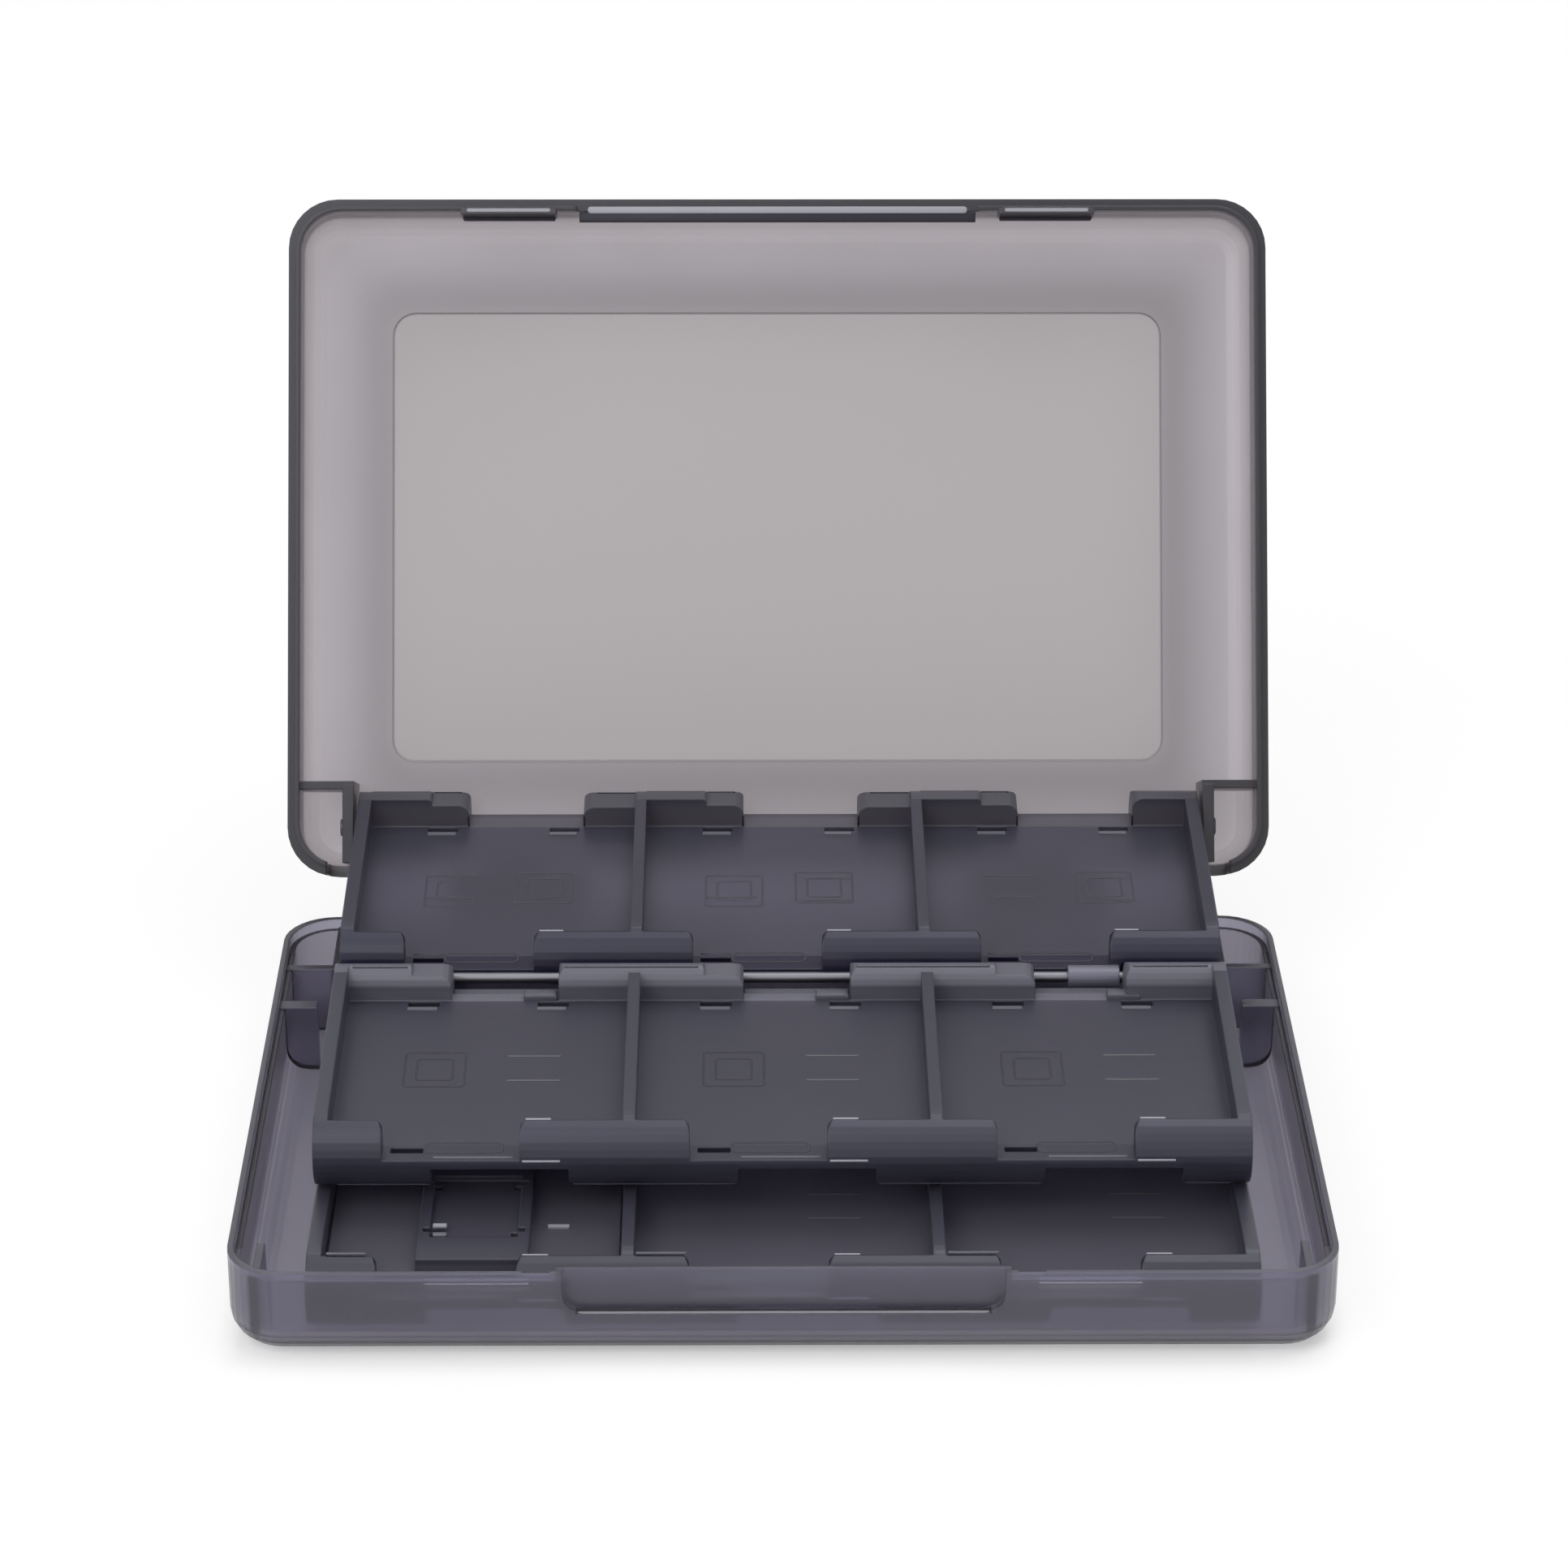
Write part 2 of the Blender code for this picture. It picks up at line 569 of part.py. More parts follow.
def add_lid_ears(lid, core):
    """Rear corner ribs, whose inner plates hold the upper tray's pins."""
    ear_inner = TRAY_WIDTH / 2 + LID_EAR_GAP
    ear_front = BACK - EAR_LENGTH
    ear_back = BACK - WALL - CLEARANCE
    inner_wall = HALF_WIDTH - WALL
    for side, x_range in both_sides(ear_inner, ear_inner + LID_EAR_WALL):
        join_box(lid, "lid_ear_plate_" + side, x_range, (ear_front, ear_back),
                 (LID_RIM + SHY, CASE_TOP), core)
    for side, x_range in both_sides(ear_inner, inner_wall + WALL):
        join_box(lid, "lid_ear_rib_" + side, x_range,
                 (ear_front - EAR_WALL / 2, ear_front + EAR_WALL / 2),
                 (LID_RIM + 2 * SHY, CASE_TOP), core)
    for side, x_range in both_sides(ear_inner - BEYOND / 2, ear_inner + LID_EAR_WALL + BEYOND):
        cut_cylinder(lid, "upper_pin_hole_" + side, x_range, UPPER_PIVOT.y, UPPER_PIVOT.z,
                     PIVOT_PIN_RADIUS + CLEARANCE, PIN_SEGMENTS)


def add_lid_arms(lid):
    """Two arms behind the lid's rear wall, each ending in the middle barrel of its hinge."""
    arm_back = HINGE.y + HINGE_ARM_BACK
    arm_top = HINGE.z + HINGE_ARM_TOP
    step_z = UPPER_AXIS_Z - CLEARANCE
    for side, arm, _lugs in hinge_ranges():
        join_box(lid, "arm_block_" + side, shrunk(shrunk(arm)), (BACK - CLEARANCE, arm_back),
                 (step_z, arm_top))
        join_box(lid, "arm_neck_" + side, shrunk(arm),
                 (HINGE.y - HINGE_BARREL_RADIUS + CLEARANCE, arm_back - SHY),
                 (HINGE.z, step_z + HINGE_BARREL_RADIUS))
        join_cylinder(lid, "arm_barrel_" + side, arm, HINGE.y, HINGE.z, HINGE_BARREL_RADIUS)
        cut_cylinder(lid, "arm_bore_" + side, (arm[0] - BEYOND, arm[1] + BEYOND),
                     HINGE.y, HINGE.z, HINGE_PIN_RADIUS + CLEARANCE)


def insert_panel(hinge_axis):
    """The thin panel that lies in the recess of the lid's ceiling."""
    panel_top = CEILING + PANEL_RECESS_DEPTH - CLEARANCE
    bm = box_bmesh(span(0, PANEL_WIDTH), span(FRONT + PANEL_CENTRE, PANEL_LENGTH),
                   (panel_top - PANEL_THICKNESS, panel_top))
    round_edges(bm, edges_along(bm, 2), PANEL_CORNER_RADIUS, EDGE_SEGMENTS)
    place(object_from("lid_insert_panel", bm, PANEL_MATERIAL), PARTS, hinge_axis, -HINGE)


def column_centres():
    return [(number - (COLUMN_COUNT - 1) / 2) * COLUMN_PITCH for number in range(COLUMN_COUNT)]


def front_clip_ranges():
    """Where a rear tray's front edge reaches round the rod, as X ranges."""
    columns = column_centres()
    clip_end = (POCKET_WIDTH + TRAY_DIVIDER) / 2
    ranges = [(centre + clip_end - FRONT_CLIP_WIDTH, centre + clip_end) for centre in columns[:-1]]
    ranges.append(span(columns[-1] + LAST_CLIP_PLACE, LAST_CLIP_WIDTH))
    return ranges


def rear_clip_ranges():
    """Where a front tray's rear edge reaches round the rod, as X ranges."""
    half = POCKET_WIDTH / 2
    ranges = [(centre - half + CLEARANCE, centre + REAR_TAB_START - 2 * CLEARANCE)
              for centre in column_centres()]
    last = column_centres()[-1]
    ranges.append((last + REAR_TAB_START + LAST_GAP_WIDTH + CLEARANCE, last + half))
    return ranges


def rear_gap_widths(has_front_clips):
    """How wide the finger gap at the rear of each pocket is."""
    if has_front_clips:
        return [REAR_GAP_WIDTH] * COLUMN_COUNT
    return [KNUCKLE_GAP_WIDTH] * (COLUMN_COUNT - 1) + [LAST_GAP_WIDTH]


def tray_mesh(name, has_front_clips):
    """One tray moulding about its rear axis, with clips for the rod at one of its ends."""
    half = TRAY_WIDTH / 2
    bm = box_bmesh((-half, half), (TRAY_FRONT_Y, TRAY_HALF), (-TRAY_HALF, TRAY_HALF))
    round_edges(bm, edges_along(bm, 0), TRAY_HALF - TRAY_END_FLAT / 2, TRAY_END_SEGMENTS)
    tray = place(object_from(name, bm, TRAY_MATERIAL), PARTS)
    if has_front_clips:
        rod_y, clip_ranges, notch_ranges = FRONT_ROD_Y, front_clip_ranges(), rear_clip_ranges()
        web_range = (FRONT_ROD_Y, TRAY_FRONT_Y + ROD_KNUCKLE_RADIUS)
        plate_setback = REAR_GAP_PLATE_SETBACK
    else:
        rod_y, clip_ranges, notch_ranges = REAR_ROD_Y, rear_clip_ranges(), front_clip_ranges()
        web_range = (TRAY_HALF - ROD_KNUCKLE_RADIUS, REAR_ROD_Y)
        plate_setback = ROD_GAP_PLATE_SETBACK
    cut_tray_pockets(tray)
    cut_tray_ends(tray, plate_setback, rear_gap_widths(has_front_clips), has_front_clips)
    for number, (low, high) in enumerate(notch_ranges):
        cut_cylinder(tray, "notch_%d" % number, (low - CLEARANCE, high + CLEARANCE), rod_y, 0,
                     ROD_KNUCKLE_RADIUS + CLEARANCE)
    for number, x_range in enumerate(clip_ranges):
        join_box(tray, "clip_web_%d" % number, shrunk(x_range), web_range, span(0, TRAY_PLATE - SHY))
        join_cylinder(tray, "clip_%d" % number, x_range, rod_y, 0, ROD_KNUCKLE_RADIUS)
        cut_cylinder(tray, "clip_bore_%d" % number, (x_range[0] - BEYOND, x_range[1] + BEYOND),
                     rod_y, 0, ROD_RADIUS + CLEARANCE)
    if has_front_clips:
        for side, x_range in both_sides(half - PIVOT_PIN_SOCKET, half + BEYOND):
            cut_cylinder(tray, "socket_" + side, x_range, 0, 0, PIVOT_PIN_RADIUS + CLEARANCE,
                         PIN_SEGMENTS)
    weld(tray)
    return bake(tray)


def cut_tray_pockets(tray):
    """Three card pockets in each face, and the narrow openings through their floors."""
    for number, centre in enumerate(column_centres()):
        x_range = span(centre, POCKET_WIDTH)
        y_range = (POCKET_FRONT_Y, POCKET_REAR_Y)
        cut_box(tray, "upper_pocket_%d" % number, x_range, y_range,
                (TRAY_PLATE / 2, TRAY_HALF + BEYOND))
        cut_box(tray, "lower_pocket_%d" % number, x_range, y_range,
                (-TRAY_HALF - BEYOND, -TRAY_PLATE / 2))
        rear_slot = (POCKET_REAR_Y - CLEARANCE - MOULD_SLOT_LENGTH, POCKET_REAR_Y - CLEARANCE)
        front_start = POCKET_FRONT_Y - FRONT_SLOT_FORWARD
        for place_name, start, slot_y in (
                ("rear_left", REAR_SLOT_LEFT, rear_slot), ("rear_right", REAR_SLOT_RIGHT, rear_slot),
                ("front", FRONT_SLOT_START, (front_start, front_start + MOULD_SLOT_LENGTH))):
            slot_x = (centre + start, centre + start + MOULD_SLOT_WIDTH)
            cut_box(tray, "slot_%s_%d" % (place_name, number), slot_x, slot_y, span(0, 2 * TRAY_PLATE))


def corner_cutter(name, tray, corners, y_range):
    """Rounds the corners of tabs.

    A corner is its X, the way out of its tab (1 or -1 along X), its height and its radius.
    """
    bm = bmesh.new()
    for x, way, z, radius in corners:
        face = math.copysign(1, z)
        middle_x = x - way * (radius - SHY / 2)
        middle_z = z - face * (radius - SHY / 2)
        angles = [math.pi / 2 * step / TAB_CORNER_SEGMENTS for step in range(TAB_CORNER_SEGMENTS + 1)]
        profile = [(middle_x + way * radius * math.cos(angle), middle_z + face * radius * math.sin(angle))
                   for angle in angles]
        profile += [(middle_x, z + face * BEYOND), (x + way * BEYOND, z + face * BEYOND),
                    (x + way * BEYOND, middle_z)]
        near = [bm.verts.new((point_x, y_range[0], point_z)) for point_x, point_z in profile]
        far = [bm.verts.new((point_x, y_range[1], point_z)) for point_x, point_z in profile]
        bm.faces.new(near)
        bm.faces.new(far[::-1])
        for number in range(len(profile)):
            after = (number + 1) % len(profile)
            bm.faces.new((near[number], near[after], far[after], far[number]))
    combine(tray, "DIFFERENCE", helper(name, bm, tray))


def round_tray_tabs(tray, rear_gaps, side_tabs_drop):
    """Rounds the tabs where they end at the finger gaps, on both faces."""
    rear_corners, front_corners = [], []
    last = COLUMN_COUNT - 1
    for number, centre in enumerate(column_centres()):
        gap_start = centre + REAR_TAB_START
        front_start = centre + FRONT_GAP_START
        side_top = TRAY_HALF - SIDE_TAB_DROP if side_tabs_drop and number < last else TRAY_HALF
        for face in (1, -1):
            rear_corners += [
                (gap_start, 1, face * (TRAY_HALF - SHORT_TAB_DROP), TAB_CORNER_RADIUS),
                (gap_start - SHORT_TAB_WIDTH, 1, face * TRAY_HALF, TALL_TAB_CORNER_RADIUS),
                (gap_start + rear_gaps[number], -1, face * side_top, TAB_CORNER_RADIUS)]
            start = front_start if face > 0 else 2 * centre - front_start - FRONT_GAP_WIDTH
            front_corners += [(start, 1, face * TRAY_HALF, TAB_CORNER_RADIUS),
                              (start + FRONT_GAP_WIDTH, -1, face * TRAY_HALF, TAB_CORNER_RADIUS)]
    if not side_tabs_drop:
        round_barrel_tabs(tray)
    corner_cutter("rear_tab_corners", tray, rear_corners,
                  (POCKET_REAR_Y - BEYOND / 2, TRAY_HALF + BEYOND))
    corner_cutter("front_tab_corners", tray, front_corners,
                  (TRAY_FRONT_Y - BEYOND, POCKET_FRONT_Y + BEYOND / 2))


def round_barrel_tabs(tray):
    """Rounds the rear tabs towards their pockets too, so that they look like barrels."""
    half = (COLUMN_COUNT * POCKET_WIDTH + (COLUMN_COUNT - 1) * TRAY_DIVIDER) / 2
    radius = BARREL_TAB_RADIUS
    bm = bmesh.new()
    for face in (1, -1):
        angles = [math.pi / 2 * step / BARREL_TAB_SEGMENTS for step in range(BARREL_TAB_SEGMENTS + 1)]
        profile = [(POCKET_REAR_Y + radius - radius * math.cos(angle) - SHY / 2,
                    TRAY_HALF - radius + radius * math.sin(angle) + SHY / 2) for angle in angles]
        profile += [(POCKET_REAR_Y + radius, TRAY_HALF + BEYOND), (POCKET_REAR_Y - SHY, TRAY_HALF + BEYOND),
                    (POCKET_REAR_Y - SHY, TRAY_HALF - radius)]
        left = [bm.verts.new((-half, point_y, face * point_z)) for point_y, point_z in profile]
        right = [bm.verts.new((half, point_y, face * point_z)) for point_y, point_z in profile]
        bm.faces.new(left)
        bm.faces.new(right[::-1])
        for number in range(len(profile)):
            after = (number + 1) % len(profile)
            bm.faces.new((left[number], left[after], right[after], right[number]))
    combine(tray, "DIFFERENCE", helper("barrel_tabs", bm, tray))


def cut_tray_ends(tray, plate_setback, rear_gaps, side_tabs_drop):
    """Finger gaps in both end walls of every pocket, and the lower tabs beside each rear gap."""
    rear_beyond = TRAY_HALF + BEYOND
    front_beyond = TRAY_FRONT_Y - BEYOND
    last = COLUMN_COUNT - 1
    for number, centre in enumerate(column_centres()):
        gap_start = centre + REAR_TAB_START
        gap = (gap_start, gap_start + rear_gaps[number])
        wall_y = (POCKET_REAR_Y - BEYOND, rear_beyond)
        short_tab = (gap_start - SHORT_TAB_WIDTH, gap_start + BEYOND)
        side_tab = (gap[1] - BEYOND, centre + POCKET_WIDTH / 2 + SHY)
        front_left = centre + FRONT_GAP_START
        front_gaps = {1: (front_left, front_left + FRONT_GAP_WIDTH),
                      -1: (centre - FRONT_GAP_START - FRONT_GAP_WIDTH, centre - FRONT_GAP_START)}
        for face in (1, -1):
            label = "%d_%s" % (number, "upper" if face > 0 else "lower")
            outer = (TRAY_HALF + BEYOND) * face
            cut_box(tray, "rear_gap_" + label, gap, wall_y, ordered(TRAY_PLATE / 2 * face, outer))
            cut_box(tray, "short_tab_" + label, short_tab, wall_y,
                    ordered((TRAY_HALF - SHORT_TAB_DROP) * face, outer))
            if side_tabs_drop and number < last:
                cut_box(tray, "side_tab_" + label, side_tab, (POCKET_REAR_Y - SHY, rear_beyond),
                        ordered((TRAY_HALF - SIDE_TAB_DROP) * face, outer))
            cut_box(tray, "front_gap_" + label, front_gaps[face],
                    (front_beyond, POCKET_FRONT_Y + BEYOND), ordered(TRAY_PLATE / 2 * face, outer))
        cut_box(tray, "plate_setback_%d" % number, gap,
                (TRAY_HALF - plate_setback, rear_beyond), span(0, 2 * TRAY_PLATE))
    round_tray_tabs(tray, rear_gaps, side_tabs_drop)


def ordered(first, second):
    return (min(first, second), max(first, second))


def bake(obj):
    """Turns an object's modifiers into a mesh, which several objects can share."""
    graph = bpy.context.evaluated_depsgraph_get()
    mesh = bpy.data.meshes.new_from_object(obj.evaluated_get(graph))
    mesh.name = obj.name + "_moulding"
    for child in list(obj.children):
        bpy.data.objects.remove(child, do_unlink=True)
    bpy.data.objects.remove(obj, do_unlink=True)
    return mesh


def rod(name, parent, location):
    """The steel rod on which two trays fold."""
    half = TRAY_WIDTH / 2 - CLEARANCE
    bm = cylinder_bmesh((-half, half), 0, 0, ROD_RADIUS, PIN_SEGMENTS)
    place(object_from(name, bm, STEEL_MATERIAL), PARTS, parent, location)


def pivot_pins(prefix, parent, location, ear_inner, ear_wall):
    """The two short pins that carry a rear tray in the ears of a shell."""
    start = TRAY_WIDTH / 2 - PIVOT_PIN_SOCKET + CLEARANCE
    end = ear_inner + ear_wall + PIVOT_PIN_END
    for side, x_range in both_sides(start, end):
        bm = cylinder_bmesh(x_range, 0, 0, PIVOT_PIN_RADIUS, PIN_SEGMENTS)
        place(object_from(prefix + side, bm, PIN_MATERIAL), PARTS, parent, location)


def hinge_pins():
    """The pins on which the lid's arms turn in the base's lugs."""
    for side, _arm, lugs in hinge_ranges():
        bm = cylinder_bmesh((lugs[0][0], lugs[1][1]), 0, 0, HINGE_PIN_RADIUS, PIN_SEGMENTS)
        place(object_from("lid_hinge_pin_" + side, bm, STEEL_MATERIAL), PARTS, None, HINGE)


def memory_card_holder(tray_location):
    """A card-sized plate with a pedestal, which has a shallow seat and four clips for a memory card."""
    left_column = column_centres()[0]
    floor = TRAY_PLATE / 2 + CLEARANCE
    plate_top = floor + HOLDER_PLATE
    pedestal_top = plate_top + PEDESTAL_HEIGHT
    y_centre = (POCKET_FRONT_Y + POCKET_REAR_Y) / 2
    bm = box_bmesh(span(left_column, HOLDER_WIDTH), span(y_centre, HOLDER_LENGTH), (floor, plate_top))
    round_edges(bm, edges_along(bm, 2), HOLDER_CORNER_RADIUS, EDGE_SEGMENTS)
    holder = place(object_from("memory_card_holder", bm, TRAY_MATERIAL), PARTS, None, tray_location)
    join_box(holder, "pedestal", span(left_column, PEDESTAL_WIDTH),
             span(y_centre, HOLDER_LENGTH - 2 * SHY), (floor + HOLDER_PLATE / 2, pedestal_top))
    seat_y = y_centre - MEMORY_SEAT_FORWARD
    cut_box(holder, "card_seat", span(left_column, MEMORY_SEAT_WIDTH), span(seat_y, MEMORY_SEAT_LENGTH),
            (pedestal_top - MEMORY_SEAT_DEPTH, pedestal_top + BEYOND))
    for side, clip_x in (("right", left_column + MEMORY_SEAT_WIDTH / 2),
                         ("left", left_column - MEMORY_SEAT_WIDTH / 2)):
        for end, clip_y in (("rear", seat_y + SEAT_CLIP_PLACE), ("front", seat_y - SEAT_CLIP_PLACE)):
            cut_box(holder, "clip_slot_%s_%s" % (side, end), span(clip_x, SEAT_CLIP_WIDTH),
                    span(clip_y, SEAT_CLIP_LENGTH), (floor - BEYOND, pedestal_top + BEYOND))


def build():
    rear_mesh = tray_mesh("rear_tray", has_front_clips=True)
    front_mesh = tray_mesh("front_tray", has_front_clips=False)
    front_offset = Vector((0, FRONT_ROD_Y, 0))
    front_origin = Vector((0, -REAR_ROD_Y, 0))

    base_shell()
    hinge_pins()
    place(bpy.data.objects.new("lower_rear_tray", rear_mesh), PARTS, None, LOWER_PIVOT)
    lower_rod = LOWER_PIVOT + front_offset
    lower_front = lower_rod + front_origin
    place(bpy.data.objects.new("lower_front_tray", front_mesh), PARTS, None, lower_front)
    rod("lower_tray_rod", None, lower_rod)
    pivot_pins("lower_pivot_pin_", None, LOWER_PIVOT, TRAY_WIDTH / 2 + EAR_GAP, EAR_WALL)
    memory_card_holder(lower_front)

    hinge_axis = empty("lid_hinge_axis", None, HINGE, -OPEN_ANGLE)
    lid_shell(hinge_axis)
    insert_panel(hinge_axis)
    pivot_pins("upper_pivot_pin_", hinge_axis, UPPER_PIVOT - HINGE,
               TRAY_WIDTH / 2 + LID_EAR_GAP, LID_EAR_WALL)
    rear_axis = empty("upper_rear_tray_axis", hinge_axis, UPPER_PIVOT - HINGE,
                      OPEN_ANGLE + REAR_TRAY_TILT)
    place(bpy.data.objects.new("upper_rear_tray", rear_mesh), PARTS, rear_axis)
    rod("upper_tray_rod", rear_axis, front_offset)
    fold_axis = empty("upper_front_tray_axis", rear_axis, front_offset, -TRAY_FOLD)
    place(bpy.data.objects.new("upper_front_tray", front_mesh), PARTS, fold_axis, front_origin)


build()
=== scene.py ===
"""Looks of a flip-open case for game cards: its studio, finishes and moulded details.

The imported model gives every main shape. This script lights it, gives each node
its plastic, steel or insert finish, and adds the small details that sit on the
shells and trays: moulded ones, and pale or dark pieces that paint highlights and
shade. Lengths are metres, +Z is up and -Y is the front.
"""

from __future__ import annotations

import json
import logging
import math
from collections.abc import Callable, Sequence
from dataclasses import dataclass
from enum import Enum
from typing import Any

import bpy
from mathutils import Matrix, Vector

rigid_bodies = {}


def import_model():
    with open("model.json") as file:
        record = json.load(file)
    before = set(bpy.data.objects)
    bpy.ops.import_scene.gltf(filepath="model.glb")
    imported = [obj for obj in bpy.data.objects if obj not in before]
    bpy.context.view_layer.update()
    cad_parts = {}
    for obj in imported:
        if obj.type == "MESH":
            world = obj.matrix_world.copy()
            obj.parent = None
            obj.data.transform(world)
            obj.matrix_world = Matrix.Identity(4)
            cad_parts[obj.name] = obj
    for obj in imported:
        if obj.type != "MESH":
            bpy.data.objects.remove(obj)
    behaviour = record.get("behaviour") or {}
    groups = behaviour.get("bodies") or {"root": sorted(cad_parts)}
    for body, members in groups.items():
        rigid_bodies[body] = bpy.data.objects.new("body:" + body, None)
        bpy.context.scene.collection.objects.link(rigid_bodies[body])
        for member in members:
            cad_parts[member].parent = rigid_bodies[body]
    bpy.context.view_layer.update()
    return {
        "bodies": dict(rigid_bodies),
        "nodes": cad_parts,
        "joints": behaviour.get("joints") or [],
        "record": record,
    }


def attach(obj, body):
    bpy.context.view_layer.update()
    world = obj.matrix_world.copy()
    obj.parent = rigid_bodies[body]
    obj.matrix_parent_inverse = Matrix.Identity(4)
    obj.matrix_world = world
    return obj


LOG = logging.getLogger("game_card_case")
PHOTO_SIDE = 1932.0
SENSOR = 36.0
LID_AXIS = Vector((0.0, 0.0508, 0.0152))
LID_ANGLE = math.radians(118.0)
COLUMN_PITCH = 0.0393
SMOOTH_ANGLE = math.radians(35)
UPRIGHT_RISE = 1e-5
FACING = 0.9
HAIRLINE_START = 0.66
HAIRLINE_GAIN = 8.0
CORNER_BLEND = 0.008
# The share of a tint that is left where shade is painted into thick plastic and edges.
DEEP_SHARE = (0.05, 0.05, 0.07)
PATCH_MIDDLE = 0.5
PATCH_ROUGHNESS = 0.12
HAIRLINE_ROUGHNESS = 0.10
PLASTIC_IOR = 1.54

Pair = tuple[float, float]
Colour = tuple[float, float, float]
Point = tuple[float, float, float]
Box = tuple[Point, Point]


class Part(Enum):
    """What the editing tools select."""

    EDGES = "EDGE"
    FACES = "FACE"


def rgba(colour: Colour) -> tuple[float, float, float, float]:
    """Adds an alpha of 1 to a colour."""
    return (*colour, 1.0)


def scaled(colour: Colour, share: float) -> tuple[float, float, float, float]:
    """Scales a colour and adds an alpha of 1."""
    return rgba(tuple(share * part for part in colour))


def shift_about_hinge(angle: float) -> Vector:
    """How far a turn about the lid's hinges moves the origin of what is turned."""
    return LID_AXIS - Matrix.Rotation(angle, 3, "X") @ LID_AXIS


class NodeSheet:
    """A node tree with short ways to add and join nodes."""

    def __init__(self, tree: bpy.types.NodeTree) -> None:
        """Keeps the tree and empties it."""
        self.tree = tree
        self.tree.nodes.clear()

    def add(self, kind: str, settings: dict[str, Any] | None = None,
            **inputs: Any) -> bpy.types.Node:
        """Adds a node.

        Args:
            kind: The node's type, such as ShaderNodeMath.
            settings: Attributes of the node itself.
            inputs: Values or sockets for its inputs, with _ for each space in a name.

        Returns:
            The new node.
        """
        node = self.tree.nodes.new(kind)
        for name, value in (settings or {}).items():
            setattr(node, name, value)
        for name, value in inputs.items():
            self.feed(node, name.replace("_", " "), value)
        return node

    def feed(self, node: bpy.types.Node, name: str | int, value: Any) -> None:
        """Links a socket to an input, or sets the input's own value."""
        socket = node.inputs[name]
        if isinstance(value, bpy.types.NodeSocket):
            self.tree.links.new(value, socket)
        else:
            socket.default_value = value

    def group(self, tree: bpy.types.NodeTree, **inputs: Any) -> bpy.types.Node:
        """Adds a node that holds a group."""
        return self.add("ShaderNodeGroup", {"node_tree": tree}, **inputs)

    def place(self) -> bpy.types.NodeSocket:
        """Adds the place on the object, in its own coordinates."""
        return self.add("ShaderNodeTexCoord").outputs["Object"]

    def maths(self, operation: str, first: Any, second: Any = 0.0,
              clamp: bool = False) -> bpy.types.NodeSocket:
        """Adds a Math node and returns its result."""
        node = self.add("ShaderNodeMath", {"operation": operation, "use_clamp": clamp})
        self.feed(node, 0, first)
        self.feed(node, 1, second)
        return node.outputs[0]

    def blend(self, factor: Any, first: Any, second: Any, mode: str = "MIX") -> bpy.types.NodeSocket:
        """Adds a colour Mix node and returns its colour."""
        node = self.add("ShaderNodeMix", {"data_type": "RGBA", "blend_type": mode})
        self.feed(node, 0, factor)
        self.feed(node, 6, first)
        self.feed(node, 7, second)
        return node.outputs[2]


def new_material(name: str) -> tuple[bpy.types.Material, NodeSheet]:
    """Makes a material and the sheet of its nodes."""
    material = bpy.data.materials.new(name)
    material.use_nodes = True
    return material, NodeSheet(material.node_tree)


def new_group(name: str, inputs: dict[str, float], outputs: dict[str, str],
              linked: dict[str, str] | None = None) -> tuple[NodeSheet, Any, Any]:
    """Makes a shader node group with named inputs and outputs.

    Args:
        name: The group's name.
        inputs: Each number that it takes, with its usual value.
        outputs: Each output's name and socket type.
        linked: Further inputs that are always linked, with their socket types.

    Returns:
        The group's sheet, its input node and its output node.
    """
    tree = bpy.data.node_groups.new(name, "ShaderNodeTree")
    for label, usual in inputs.items():
        tree.interface.new_socket(label, in_out="INPUT", socket_type="NodeSocketFloat").default_value = usual
    for label, kind in (linked or {}).items():
        tree.interface.new_socket(label, in_out="INPUT", socket_type=kind)
    for label, kind in outputs.items():
        tree.interface.new_socket(label, in_out="OUTPUT", socket_type=kind)
    sheet = NodeSheet(tree)
    return sheet, sheet.add("NodeGroupInput"), sheet.add("NodeGroupOutput")


